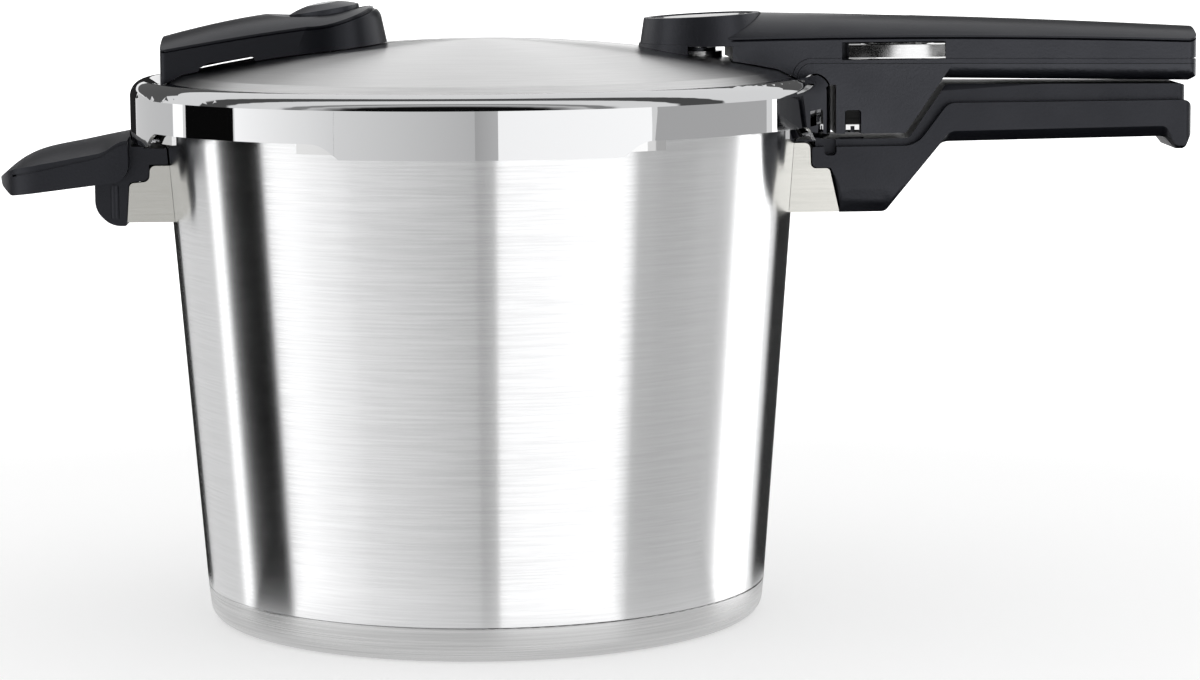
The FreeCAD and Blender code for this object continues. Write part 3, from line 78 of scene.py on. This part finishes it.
class Sheet:
    """Short ways to add and join nodes in one tree. A value is a number or a socket."""

    def __init__(self, tree):
        self.tree = tree

    def add(self, kind, **settings):
        node = self.tree.nodes.new(kind)
        for key, value in settings.items():
            setattr(node, key, value)
        return node

    def put(self, value, socket):
        """Sets a socket to a number or a colour, or joins it to another socket."""
        if isinstance(value, bpy.types.NodeSocket):
            self.tree.links.new(value, socket)
        else:
            socket.default_value = value

    def fill(self, node, values):
        """Puts values into a node's first inputs, in their order."""
        for value, socket in zip(values, node.inputs):
            self.put(value, socket)
        return node.outputs[0]

    def math(self, operation, first, second):
        node = self.add("ShaderNodeMath", operation=operation)
        return self.fill(node, (first, second))

    def times(self, first, second):
        return self.math("MULTIPLY", first, second)

    def plus(self, first, second):
        return self.math("ADD", first, second)

    def less(self, first, second):
        return self.math("SUBTRACT", first, second)

    def larger(self, first, second):
        return self.math("MAXIMUM", first, second)

    def ramp(self, value, low, high, out_low=0.0, out_high=1.0, kind="SMOOTHSTEP"):
        """Goes from out_low to out_high while the value goes from low to high."""
        node = self.add("ShaderNodeMapRange", interpolation_type=kind)
        return self.fill(node, (value, low, high, out_low, out_high))

    def noise(self, vector, scale, detail, roughness):
        node = self.add("ShaderNodeTexNoise")
        self.put(vector, node.inputs["Vector"])
        self.put(scale, node.inputs["Scale"])
        self.put(detail, node.inputs["Detail"])
        self.put(roughness, node.inputs["Roughness"])
        return node.outputs["Fac"]

    def mix(self, factor, first, second):
        """A colour between two colours."""
        node = self.add("ShaderNodeMix", data_type="RGBA")
        self.put(factor, node.inputs["Factor"])
        self.put(first, node.inputs[6])
        self.put(second, node.inputs[7])
        return node.outputs[2]

    def blend(self, factor, first, second):
        """A number between two numbers."""
        node = self.add("ShaderNodeMix", data_type="FLOAT")
        self.put(factor, node.inputs[0])
        self.put(first, node.inputs[2])
        self.put(second, node.inputs[3])
        return node.outputs[0]

    def point(self, space="Object"):
        return self.add("ShaderNodeTexCoord").outputs[space]

    def place(self, space="Object"):
        """The three coordinates of the point: x, y, z."""
        split = self.add("ShaderNodeSeparateXYZ")
        self.put(self.point(space), split.inputs[0])
        return split.outputs[0], split.outputs[1], split.outputs[2]

    def join(self, x, y, z):
        return self.fill(self.add("ShaderNodeCombineXYZ"), (x, y, z))

    def radius(self):
        """Distance of the point from the Z axis."""
        x, y = self.place()[:2]
        square = self.plus(self.times(x, x), self.times(y, y))
        node = self.add("ShaderNodeMath", operation="SQRT")
        return self.fill(node, (square,))

    def bump(self, height, strength, distance):
        node = self.add("ShaderNodeBump")
        node.inputs["Strength"].default_value = strength
        node.inputs["Distance"].default_value = distance
        self.put(height, node.inputs["Height"])
        return node.outputs[0]


def grey(value):
    return (value, value, value, 1.0)


def shade(colour, share):
    """The same colour, lighter or darker."""
    return (colour[0] * share, colour[1] * share, colour[2] * share, 1.0)


# ---------------------------------------------------------------- shared effects

def new_group(name, inputs, outputs):
    """An empty group with number sockets: (sheet, its inputs by name, its output sockets)."""
    tree = bpy.data.node_groups.new(name, "ShaderNodeTree")
    for label, value in inputs.items():
        socket = tree.interface.new_socket(label, in_out="INPUT",
                                           socket_type="NodeSocketFloat")
        socket.default_value = value
    for label in outputs:
        tree.interface.new_socket(label, in_out="OUTPUT", socket_type="NodeSocketFloat")
    sheet = Sheet(tree)
    source = sheet.add("NodeGroupInput").outputs
    return sheet, source, sheet.add("NodeGroupOutput").inputs


LINE_CUT = (0.3, 0.7)  # where noise turns from one side of a line to the other


def make_turned_lines():
    """Hairlines that run round the Z axis: fast across them, slow along them."""
    sheet, source, result = new_group(
        "turned_lines", {"Across": 0.0, "Fineness": 2500.0, "Length": 12.0},
        ("Hairline", "Streak"))
    x, y = sheet.place()[:2]
    for label, narrow, long in (("Hairline", 1.0, 1.0), ("Streak", 0.22, 0.45)):
        across = sheet.times(source["Across"], sheet.times(source["Fineness"], narrow))
        length = sheet.times(source["Length"], long)
        point = sheet.join(sheet.times(x, length), sheet.times(y, length), across)
        lines = sheet.noise(point, 1.0, 3.0, 0.6)
        sheet.put(sheet.ramp(lines, *LINE_CUT), result[label])
    return sheet.tree


def make_straight_lines():
    """Hairlines along X on a flat or pressed piece."""
    sheet, source, result = new_group(
        "straight_lines", {"Fineness": 2500.0, "Length": 30.0}, ("Hairline",))
    x, y, z = sheet.place()
    point = sheet.join(sheet.times(x, source["Length"]), sheet.times(y, source["Fineness"]),
                       sheet.times(z, source["Fineness"]))
    lines = sheet.noise(point, 1.0, 2.0, 0.55)
    sheet.put(sheet.ramp(lines, *LINE_CUT), result["Hairline"])
    return sheet.tree


def make_moulded_grain():
    """Spark-eroded grain of a moulded handle, with a faint uneven gloss."""
    sheet, source, result = new_group(
        "moulded_grain", {"Grain": 2600.0}, ("Height", "Gloss"))
    vector = sheet.point()
    grain = sheet.noise(vector, source["Grain"], 2.0, 0.6)
    cells = sheet.add("ShaderNodeTexVoronoi")
    sheet.put(vector, cells.inputs["Vector"])
    sheet.put(sheet.times(source["Grain"], 0.6), cells.inputs["Scale"])
    height = sheet.plus(sheet.times(grain, 0.6), sheet.times(cells.outputs["Distance"], 0.5))
    sheet.put(height, result["Height"])
    patch = sheet.noise(vector, 45.0, 3.0, 0.6)
    sheet.put(sheet.ramp(patch, 0.25, 0.75), result["Gloss"])
    return sheet.tree


def make_handling_marks():
    """Sparse faint wipe marks and dust, for polished metal."""
    sheet, source, result = new_group("handling_marks", {"Size": 20.0}, ("Mark",))
    cloud = sheet.noise(sheet.point(), source["Size"], 4.0, 0.65)
    sheet.put(sheet.ramp(cloud, 0.42, 0.72), result["Mark"])
    return sheet.tree


GROUPS = {
    "turned_lines": make_turned_lines(),
    "straight_lines": make_straight_lines(),
    "moulded_grain": make_moulded_grain(),
    "handling_marks": make_handling_marks(),
}


def shared(sheet, name, **values):
    """Places one of the shared groups and returns its outputs by name."""
    node = sheet.add("ShaderNodeGroup", node_tree=GROUPS[name])
    for key, value in values.items():
        sheet.put(value, node.inputs[key])
    return node.outputs


# ---------------------------------------------------------------- materials

# Radii and heights in metres between which one finish gives way to the next.
POT_POLISH = (0.1112, 0.1117)
LID_POLISH = (0.1085, 0.1092)
BOLT_TIP = (0.1713, 0.1709)

HAIRLINE_DEPTH = 0.00004
STREAK_SHARE = 0.2
SMALL_LINES = {"Fineness": 3200.0, "Length": 60.0}


def new_material(name, base, roughness, metallic=0.0):
    """A material with its Principled shader: (material, sheet, the shader's inputs)."""
    material = bpy.data.materials.new(name)
    material.use_nodes = True
    shader = material.node_tree.nodes["Principled BSDF"].inputs
    shader["Base Color"].default_value = base
    shader["Roughness"].default_value = roughness
    shader["Metallic"].default_value = metallic
    return material, Sheet(material.node_tree), shader


def around_axis(sheet, shader, amount):
    """Stretches reflections up and down, as lines turned round the Z axis do."""
    tangent = sheet.add("ShaderNodeTangent", direction_type="RADIAL", axis="Z")
    sheet.put(tangent.outputs[0], shader["Tangent"])
    shader["Anisotropic"].default_value = amount
    shader["Anisotropic Rotation"].default_value = 0.25


def brush_and_polish(sheet, shader, lines, polished, tones, rough, polish):
    """Turned hairlines that give way to a mirror polish where polished is 1."""
    dark, light, streak, mirror = tones
    tone = sheet.mix(lines["Hairline"], dark, light)
    tone = sheet.mix(sheet.times(lines["Streak"], STREAK_SHARE), tone, streak)
    sheet.put(sheet.mix(polished, tone, mirror), shader["Base Color"])
    sheet.put(sheet.blend(polished, rough, polish), shader["Roughness"])
    height = sheet.times(lines["Hairline"], sheet.less(1.0, polished))
    sheet.put(sheet.bump(height, 0.03, HAIRLINE_DEPTH), shader["Normal"])


def pot_steel():
    """Brushed round the wall, with a polished rim and polished lugs."""
    material, sheet, shader = new_material("brushed_pot_steel", grey(0.66), 0.3, 1.0)
    around_axis(sheet, shader, 1.0)
    height = sheet.place()[2]
    lines = shared(sheet, "turned_lines", Across=height, Fineness=1700.0, Length=34.0)
    marks = shared(sheet, "handling_marks", Size=14.0)
    rough = sheet.plus(sheet.blend(lines["Hairline"], 0.22, 0.19),
                       sheet.times(marks["Mark"], 0.02))
    tones = ((0.79, 0.793, 0.8, 1), (0.84, 0.843, 0.85, 1), grey(0.77), grey(0.66))
    polished = sheet.ramp(sheet.radius(), *POT_POLISH)
    brush_and_polish(sheet, shader, lines, polished, tones, rough, 0.045)
    return material


def lid_steel():
    """Satin dome with circular brushing, and a mirror-polished bead and skirt."""
    material, sheet, shader = new_material("satin_lid_steel", grey(0.7), 0.3, 1.0)
    around_axis(sheet, shader, 1.0)
    radius = sheet.radius()
    lines = shared(sheet, "turned_lines", Across=radius, Fineness=1700.0, Length=40.0)
    marks = shared(sheet, "handling_marks", Size=20.0)
    polish = sheet.plus(0.028, sheet.times(marks["Mark"], 0.012))
    tones = (grey(0.77), grey(0.85), grey(0.76), (0.62, 0.623, 0.63, 1))
    polished = sheet.ramp(radius, *LID_POLISH)
    brush_and_polish(sheet, shader, lines, polished, tones,
                     sheet.blend(lines["Hairline"], 0.31, 0.28), polish)
    return material


def base_steel():
    """Satin cap turned on a lathe: lines round the side, rings under the floor."""
    material, sheet, shader = new_material("turned_base_steel", grey(0.66), 0.32, 1.0)
    around_axis(sheet, shader, 0.7)
    across = sheet.plus(sheet.place()[2], sheet.radius())
    lines = shared(sheet, "turned_lines", Across=across, Fineness=2200.0, Length=16.0)
    sheet.put(sheet.mix(lines["Hairline"], grey(0.6), grey(0.72)), shader["Base Color"])
    sheet.put(sheet.blend(lines["Hairline"], 0.36, 0.26), shader["Roughness"])
    sheet.put(sheet.bump(lines["Hairline"], 0.12, 0.00005), shader["Normal"])
    return material


def small_metal(name, tone, low, high):
    """Polished or satin small metal pieces with faint straight lines; low and high are
    their roughness."""
    material, sheet, shader = new_material(name, grey(tone), low, 1.0)
    lines = shared(sheet, "straight_lines", **SMALL_LINES)
    marks = shared(sheet, "handling_marks", Size=60.0)
    sheet.put(sheet.mix(lines["Hairline"], grey(tone * 0.93), grey(tone)),
              shader["Base Color"])
    sheet.put(sheet.blend(marks["Mark"], low, high), shader["Roughness"])
    return material


def guard_steel():
    """Warm satin nickel-plated sheet, brushed round the guard."""
    material, sheet, shader = new_material(
        "warm_guard_steel", (0.66, 0.645, 0.6, 1), 0.3, 1.0)
    height = sheet.place()[2]
    lines = shared(sheet, "turned_lines", Across=height, Fineness=2600.0, Length=60.0)
    tone = sheet.mix(lines["Hairline"], (0.63, 0.622, 0.585, 1), (0.66, 0.652, 0.615, 1))
    sheet.put(tone, shader["Base Color"])
    sheet.put(sheet.blend(lines["Streak"], 0.25, 0.21), shader["Roughness"])
    return material


def black_plastic(name, tone, shine, rough, grain, depth):
    """Bluish black moulded plastic, with the size and depth of its grain."""
    base = (tone * 0.9, tone, tone * 1.5, 1)
    low, high = rough
    material, sheet, shader = new_material(name, base, low)
    shader["Specular IOR Level"].default_value = shine
    shader["Specular Tint"].default_value = (0.88, 0.9, 1.0, 1)
    surface = shared(sheet, "moulded_grain", Grain=grain)
    sheet.put(sheet.mix(surface["Height"], base, shade(base, 1.35)), shader["Base Color"])
    sheet.put(sheet.blend(surface["Gloss"], low, high), shader["Roughness"])
    sheet.put(sheet.bump(surface["Height"], 0.5, depth), shader["Normal"])
    return material


def bolt_dark_as_notch_shade():
    """Blackened steel, ground bright at the tip of the bolt. Its near-black colour is partly
    painted shade: it stands in for the dark inside the housing's notch.
    """
    material, sheet, shader = new_material("bolt_steel_painted_notch_shade", grey(0.02), 0.4, 1.0)
    tip = sheet.ramp(sheet.place()[2], *BOLT_TIP)
    lines = shared(sheet, "straight_lines", **SMALL_LINES)
    # painted shade: this near-black tone is partly the bolt's own blackening and partly the
    # shade inside the notch
    notch_shade_tone = sheet.mix(lines["Hairline"], grey(0.012), grey(0.02))
    sheet.put(sheet.mix(tip, notch_shade_tone, grey(0.7)), shader["Base Color"])
    sheet.put(sheet.blend(tip, 0.42, 0.15), shader["Roughness"])
    return material


def soft_matt(name, base, roughness):
    """Silicone, or plain coloured plastic, with a fine even grain."""
    material, sheet, shader = new_material(name, base, roughness)
    surface = shared(sheet, "moulded_grain", Grain=1400.0)
    sheet.put(sheet.mix(surface["Gloss"], shade(base, 0.9), base), shader["Base Color"])
    sheet.put(sheet.blend(surface["Gloss"], roughness, roughness + 0.12),
              shader["Roughness"])
    sheet.put(sheet.bump(surface["Height"], 0.2, 0.00004), shader["Normal"])
    return material


def clear_pane():
    """Clear plastic window with faint wipe marks."""
    material, sheet, shader = new_material("clear_pane", (0.93, 0.95, 0.95, 1), 0.06)
    shader["Transmission Weight"].default_value = 1.0
    shader["IOR"].default_value = 1.49
    marks = shared(sheet, "handling_marks", Size=200.0)
    sheet.put(sheet.blend(marks["Mark"], 0.04, 0.12), shader["Roughness"])
    return material


MATT, SATIN = (0.34, 0.42), (0.28, 0.34)  # roughness of the black plastics
COARSE_GRAIN, COARSE_DEPTH = 1700.0, 0.0001
FINE_GRAIN, FINE_DEPTH = 2600.0, 0.00004


def build_materials():
    return {
        "pot_steel": pot_steel(),
        "lid_steel": lid_steel(),
        "base_steel": base_steel(),
        "core_aluminium": small_metal("plain_aluminium", 0.78, 0.3, 0.4),
        "bright_steel": small_metal("bright_steel", 0.74, 0.08, 0.16),
        "guard_steel": guard_steel(),
        "handle_plastic": black_plastic("grained_black_plastic", 0.004, 0.75, MATT,
                                        COARSE_GRAIN, COARSE_DEPTH),
        "crown_plastic": black_plastic("satin_black_plastic", 0.003, 0.48, SATIN,
                                       FINE_GRAIN, FINE_DEPTH),
        "pot_plastic": black_plastic("grained_pot_handle_plastic", 0.004, 0.5, MATT,
                                     COARSE_GRAIN, COARSE_DEPTH),
        "bolt_steel": bolt_dark_as_notch_shade(),
        "seal_silicone": soft_matt("seal_silicone", (0.55, 0.56, 0.57, 1), 0.5),
        "gasket_silicone": soft_matt("gasket_silicone", (0.3, 0.3, 0.31, 1), 0.5),
        "white_plastic": soft_matt("pale_plastic", (0.72, 0.73, 0.74, 1), 0.32),
        "flag_green": soft_matt("green_flag_plastic", (0.04, 0.42, 0.1, 1), 0.3),
        "window_clear": clear_pane(),
    }


FINISH = {
    "pot_steel": ["pot_body"],
    "lid_steel": ["lid_shell"],
    "base_steel": ["base_cap"],
    "core_aluminium": ["base_core"],
    "guard_steel": ["pot_handle_flame_guard", "helper_flame_guard"],
    "bright_steel": [
        "pot_handle_bracket", "helper_handle_bracket", "pot_handle_screw",
        "helper_handle_screw", "lid_handle_screw", "lid_handle_washer", "housing_screws",
        "positioning_disc", "release_slide", "lock_spring", "valve_nut", "valve_stem",
        "start_valve_pin"],
    "bolt_steel": ["lock_bolt"],
    "pot_plastic": ["pot_handle", "helper_handle"],
    "handle_plastic": [
        "lid_handle_shell", "lid_handle_housing", "lid_handle_foot", "slide_carriage",
        "valve_body", "valve_dial"],
    "crown_plastic": ["lid_handle_crown", "valve_cover", "start_valve_body"],
    "seal_silicone": ["sealing_ring"],
    "gasket_silicone": ["valve_gasket", "start_valve_gasket"],
    "white_plastic": ["pressure_cap"],
    "flag_green": ["lock_flag"],
    "window_clear": ["indicator_window"],
}


def finish_nodes(materials):
    for slot, names in FINISH.items():
        for name in names:
            mesh = nodes[name].data
            mesh.materials.clear()
            mesh.materials.append(materials[slot])


# ---------------------------------------------------------------- modelling helpers

def span(node):
    """Low and high corner of a node in millimetres."""
    low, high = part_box(node)
    return [value / MM for value in low], [value / MM for value in high]


def work_on(piece):
    bpy.ops.object.select_all(action="DESELECT")
    piece.select_set(True)
    bpy.context.view_layer.objects.active = piece


def leave_edit_mode():
    bpy.ops.object.mode_set(mode="OBJECT")


def merged_copy(node):
    """A copy of a node's mesh with its doubles merged, ready to be worked on."""
    piece = nodes[node].copy()
    piece.data = nodes[node].data.copy()
    piece.name = node + "_shaped"
    bpy.context.collection.objects.link(piece)
    work_on(piece)
    bpy.ops.object.mode_set(mode="EDIT")
    bpy.ops.mesh.select_all(action="SELECT")
    bpy.ops.mesh.remove_doubles(threshold=0.002 * MM)
    leave_edit_mode()
    return piece


def block(name, low, high):
    """A box between two corners in millimetres."""
    size = [(b - a) * MM for a, b in zip(low, high)]
    middle = [(a + b) / 2 * MM for a, b in zip(low, high)]
    bpy.ops.object.select_all(action="DESELECT")
    bpy.ops.mesh.primitive_cube_add(size=1.0, location=middle, scale=size)
    bpy.ops.object.transform_apply(location=True, rotation=True, scale=True)
    piece = bpy.context.object
    piece.name = name
    return piece


def pick(piece, kind, wanted):
    """Enters edit mode with the edges or faces selected whose low and high corner, in
    millimetres, are wanted."""
    work_on(piece)
    bpy.ops.object.mode_set(mode="EDIT")
    bpy.ops.mesh.select_mode(type=kind)
    bpy.ops.mesh.select_all(action="DESELECT")
    bpy.ops.object.mode_set(mode="OBJECT")
    mesh = piece.data
    for item in mesh.edges if kind == "EDGE" else mesh.polygons:
        ends = [mesh.vertices[i].co / MM for i in item.vertices]
        low = [min(end[i] for end in ends) for i in range(3)]
        high = [max(end[i] for end in ends) for i in range(3)]
        item.select = wanted(low, high)
    bpy.ops.object.mode_set(mode="EDIT")


def cut(piece, tool, operation="DIFFERENCE"):
    """Cuts a piece with a tool, or keeps what both share, and removes the tool."""
    work_on(piece)
    change = piece.modifiers.new("cut", "BOOLEAN")
    change.operation = operation
    change.solver = "EXACT"
    change.object = tool
    bpy.ops.object.modifier_apply(modifier=change.name)
    bpy.data.objects.remove(tool)


def settle(piece, body, slot, materials, replaced, angle=30):
    """Smooth shading, finish, body and the node that a finished piece stands for. The
    normals are weighted by area, so that large flat faces look flat."""
    work_on(piece)
    bpy.ops.mesh.customdata_custom_splitnormals_clear()
    bpy.ops.object.shade_smooth_by_angle(angle=math.radians(angle))
    change = piece.modifiers.new("weights", "WEIGHTED_NORMAL")
    change.keep_sharp = True
    change.weight = 100
    bpy.ops.object.modifier_apply(modifier=change.name)
    piece.data.materials.clear()
    piece.data.materials.append(materials[slot])
    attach(piece, body)
    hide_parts(replaced)


# ---------------------------------------------------------------- shaped pieces

# All in millimetres.
HANDLE_HALF = span("pot_handle")[1][1]
END_RADIUS = 7.0
HAIR = 0.01  # places nearer than this count as the same
TOOL_PAST = 5.0  # how far a tool reaches past a handle's ends

# The slanting flanks along the top of the pot handle.
FLANK_START = 12.0
FLANK_HEIGHT = 8.6
FLANK_WIDTH = 9.0
FLANK_OUTSET = 0.4
FLANK_RISE = 1.0  # the slant's upper edge is this far above the handle
FLANK_PAST = 3.0

# The release slide's face: how far it leans back, and how far its ends are bowed back.
SLIDE_CUTS = 7
SLIDE_MIDDLE = (0.45, 0.78)  # the share of its length that leans less
MIDDLE_LEAN, END_LEAN = 0.3, 0.55
SLIDE_BOW = 0.9
SLIDE_FRONT = 2.2  # its front edges lie within this depth
SLIDE_ROUNDING = 0.5


def round_end(piece, low, high):
    """Rounds the two upright edges at the +X end of a handle."""
    tool = block("end_tool",
                 (low[0] - TOOL_PAST, low[1] - HAIR, low[2] - TOOL_PAST),
                 (high[0] - HAIR, high[1] + HAIR, high[2] + TOOL_PAST))
    pick(tool, "EDGE", lambda a, b: a[0] > high[0] - 1 and b[2] - a[2] > 1)
    bpy.ops.mesh.bevel(offset=END_RADIUS * MM, segments=8, affect="EDGES")
    leave_edit_mode()
    cut(piece, tool, "INTERSECT")


def shape_pot_handle(materials):
    """The pot handle with its slanting upper flanks and a rounded end."""
    low, high = span("pot_handle")
    piece = merged_copy("pot_handle")
    foot, top = high[2] - FLANK_HEIGHT, high[2] + FLANK_RISE
    inner, outer = HANDLE_HALF, HANDLE_HALF + FLANK_OUTSET + FLANK_PAST
    for side in (-1, 1):
        near, far = sorted((side * inner, side * outer))
        wedge = block("flank_tool", (low[0] + FLANK_START, near, foot),
                      (high[0] + TOOL_PAST, far, top))
        pick(wedge, "EDGE", lambda a, b: a[2] > top - HAIR and b[0] - a[0] > 1
             and abs(b[1]) < inner + HAIR)
        inwards = -side * (FLANK_WIDTH - FLANK_OUTSET) * MM
        bpy.ops.transform.translate(value=(0, inwards, 0))
        leave_edit_mode()
        cut(piece, wedge)
    round_end(piece, low, high)
    settle(piece, "pot", "pot_plastic", materials, "pot_handle")


def shape_grip_ends(materials):
    """Rounds the upright corners at the end of the lid handle."""
    for node, slot in (("lid_handle_shell", "handle_plastic"),
                       ("lid_handle_crown", "crown_plastic"),
                       ("lid_handle_housing", "handle_plastic")):
        low, high = span(node)
        piece = merged_copy(node)
        low[1], high[1] = -HANDLE_HALF, HANDLE_HALF
        round_end(piece, low, high)
        settle(piece, "lid", slot, materials, node)


def shape_slide(materials):
    """The release slide: a polished bar with a crowned, faceted face and rounded edges."""
    low, high = span("release_slide")
    bar = block("release_slide_bar", low, high)
    pick(bar, "FACE", lambda a, b: True)
    bpy.ops.mesh.subdivide(number_cuts=SLIDE_CUTS, quadcorner="INNERVERT")
    leave_edit_mode()
    length, height = high[0] - low[0], high[2] - low[2]
    for corner in bar.data.vertices:
        along = (corner.co.x / MM - low[0]) / length
        up = (corner.co.z / MM - low[2]) / height
        if corner.co.y / MM < low[1] + HAIR:
            middle = SLIDE_MIDDLE[0] < along < SLIDE_MIDDLE[1]
            lean = MIDDLE_LEAN if middle else END_LEAN
            corner.co.y += (lean * up + SLIDE_BOW * (2 * along - 1) ** 2) * MM
    pick(bar, "EDGE", lambda a, b: b[1] < low[1] + SLIDE_FRONT
         and (a[2] > high[2] - HAIR or b[2] < low[2] + HAIR)
         and b[0] - a[0] > 0.5 and b[1] - a[1] < 0.6)
    bpy.ops.mesh.bevel(offset=SLIDE_ROUNDING * MM, segments=3, affect="EDGES")
    leave_edit_mode()
    settle(bar, "release_slide", "bright_steel", materials, "release_slide",
           angle=20)


def build_pieces(materials):
    shape_pot_handle(materials)
    shape_grip_ends(materials)
    shape_slide(materials)


# ---------------------------------------------------------------- studio

PANEL_DISTANCE = 1.6
PANEL_BOTTOM, PANEL_TOP = -1.16, 0.36

# Name, first and last angle in degrees, light at the first and at the last angle. Angle 0
# is towards the camera, and angles grow towards +X.
PANELS = (
    ("soft_box_left", -83, -46, 1.46, 0.99),
    ("soft_box_front_left", -46, -2, 0.99, 0.68),
    ("gap_card", -2, 5, 0.52, 0.66),
    ("soft_box_front_right", 5, 54, 1.4, 1.5),
    ("grey_card_right", 56, 102, 0.56, 0.58),
    ("strip_light_right", 105, 130, 2.3, 2.3),
    ("dark_card_right", 137, 166, 0.02, 0.04),
    ("dark_card_left", -107, -83.5, 0.004, 0.004),
    ("strip_light_left", -114.5, -108.5, 1.7, 1.7),
    ("pale_card_left", -149, -115, 0.75, 0.75),
    ("edge_card_left", -179, -150, 0.02, 0.02),
)

# Two dark cards behind the lid, which the dome reflects: name, near and far edge along X.
BACK_CARDS = (("dark_card_back_left", -0.17, -1.3), ("dark_card_back_right", 0.24, 1.3))
BACK_CARD_HEIGHT = 0.62
BACK_CARD_PLACE = (1.0, 0.66)  # y and z of their middle
BACK_CARD_LIGHT = 0.12


def glow_material(name, strength):
    """A plain white light: (material, sheet, the light's strength socket)."""
    material = bpy.data.materials.new(name)
    material.use_nodes = True
    material.node_tree.nodes.clear()
    sheet = Sheet(material.node_tree)
    glow = sheet.add("ShaderNodeEmission")
    glow.inputs["Color"].default_value = grey(1.0)
    glow.inputs["Strength"].default_value = strength
    out = sheet.add("ShaderNodeOutputMaterial")
    sheet.put(glow.outputs[0], out.inputs["Surface"])
    return material, sheet, glow.inputs["Strength"]


def hide_from_camera(card):
    card.visible_camera = False
    card.visible_shadow = False


def glow_board(name, width, height, place, turn, first, last):
    """A flat glowing board that only reflections and soft light see; its light goes from
    first to last along its own X."""
    bpy.ops.object.select_all(action="DESELECT")
    bpy.ops.mesh.primitive_plane_add(size=1.0, location=place, rotation=turn)
    board = bpy.context.object
    board.name = name
    board.data.transform(Matrix.Diagonal((width, height, 1, 1)))
    material, sheet, strength = glow_material(name + "_light", 1.0)
    x = sheet.place()[0]
    light = sheet.ramp(x, -width / 2, width / 2, first, last, kind="LINEAR")
    sheet.put(light, strength)
    board.data.materials.append(material)
    hide_from_camera(board)
    return board


def build_panels():
    """Upright panels all round, each filling its angles as seen from the object."""
    for name, start, end, first, last in PANELS:
        middle = math.radians((start + end) / 2)
        width = 2 * PANEL_DISTANCE * math.tan(math.radians((end - start) / 2))
        place = Vector((math.sin(middle), -math.cos(middle), 0)) * PANEL_DISTANCE
        place.z = (PANEL_TOP + PANEL_BOTTOM) / 2
        glow_board(name, width, PANEL_TOP - PANEL_BOTTOM, place, (UPRIGHT, 0, middle),
                   first, last)
    for name, near, far in BACK_CARDS:
        place = ((near + far) / 2, *BACK_CARD_PLACE)
        card = glow_board(name, abs(far - near), BACK_CARD_HEIGHT, place,
                          (UPRIGHT, 0, math.pi), BACK_CARD_LIGHT, BACK_CARD_LIGHT)
        card.visible_diffuse = False


FLOOR_WIDTH = 40.0
FLOOR_GLOW = (0.31, 1.0)  # near the object and far from it
FLOOR_FADE = (0.35, 1.1)  # the radii between which it changes

# A pale disc under the pot, and a dark card far below it.
DISC_RADIUS, DISC_DROP, DISC_LIGHT = 0.128, 0.0004, 0.75
PIT_WIDTH, PIT_DROP, PIT_LIGHT = 5.0, 1.18, 0.01


def build_floor():
    """A pale floor that turns white far off, and what the object mirrors from below."""
    bpy.ops.mesh.primitive_plane_add(size=FLOOR_WIDTH)
    floor = bpy.context.object
    floor.name = "pale_floor"
    material, sheet, shader = new_material("pale_floor_paint", grey(0.86), 0.8)
    shader["Specular IOR Level"].default_value = 0.0
    shader["Emission Color"].default_value = grey(1.0)
    far = sheet.ramp(sheet.radius(), *FLOOR_FADE)
    light = sheet.add("ShaderNodeLightPath").outputs
    seen = sheet.larger(light["Is Camera Ray"],
                        sheet.larger(light["Is Glossy Ray"], light["Is Transmission Ray"]))
    sheet.put(sheet.times(seen, sheet.blend(far, *FLOOR_GLOW)), shader["Emission Strength"])
    floor.data.materials.append(material)
    floor.visible_glossy = False

    bpy.ops.mesh.primitive_circle_add(vertices=96, radius=DISC_RADIUS, fill_type="NGON",
                                      location=(0, 0, -DISC_DROP))
    disc = bpy.context.object
    disc.name = "pale_disc_below"
    disc.data.materials.append(glow_material("pale_disc_paint", DISC_LIGHT)[0])
    bpy.ops.mesh.primitive_plane_add(size=PIT_WIDTH, location=(0, 0, -PIT_DROP))
    pit = bpy.context.object
    pit.name = "dark_card_below"
    pit.data.materials.append(glow_material("dark_card_paint", PIT_LIGHT)[0])
    for card in (disc, pit):
        card.visible_diffuse = False
        hide_from_camera(card)


SKY_LIGHT = 0.8
SIDEWAYS = 0.2  # how much the tent turns with +X
TENT_EDGE = ((-0.84, -0.68, 0.006, 0.7), (-0.6, -0.5, 0.0, 0.3))
TENT_BARS = ((-0.66, -0.56, 0.55), (-0.2, 0.12, 0.9))  # start, end, share of light lost
BAR_BLUR = 0.02


def build_world():
    """White behind the object, dark in front above the panels, as in a studio tent."""
    world = bpy.data.worlds.new("plain_studio")
    bpy.context.scene.world = world
    world.use_nodes = True
    sheet = Sheet(world.node_tree)
    back = world.node_tree.nodes["Background"].inputs
    back["Color"].default_value = grey(1.0)
    x, y = sheet.place("Generated")[:2]
    depth = sheet.plus(y, sheet.times(x, SIDEWAYS))
    tent = sheet.plus(sheet.ramp(depth, *TENT_EDGE[0]), sheet.ramp(depth, *TENT_EDGE[1]))
    for start, end, loss in TENT_BARS:
        bar = sheet.times(sheet.ramp(depth, start - BAR_BLUR, start + BAR_BLUR),
                          sheet.ramp(depth, end + BAR_BLUR, end - BAR_BLUR))
        tent = sheet.times(tent, sheet.less(1.0, sheet.times(bar, loss)))
    light = sheet.add("ShaderNodeLightPath").outputs
    plain = sheet.larger(light["Is Camera Ray"], light["Is Transmission Ray"])
    strength = sheet.blend(light["Is Glossy Ray"], SKY_LIGHT, tent)
    sheet.put(sheet.blend(plain, strength, 1.0), back["Strength"])


set_camera()
finishes = build_materials()
finish_nodes(finishes)
build_pieces(finishes)
build_panels()
build_floor()
build_world()
bpy.context.scene.view_settings.view_transform = "Standard"
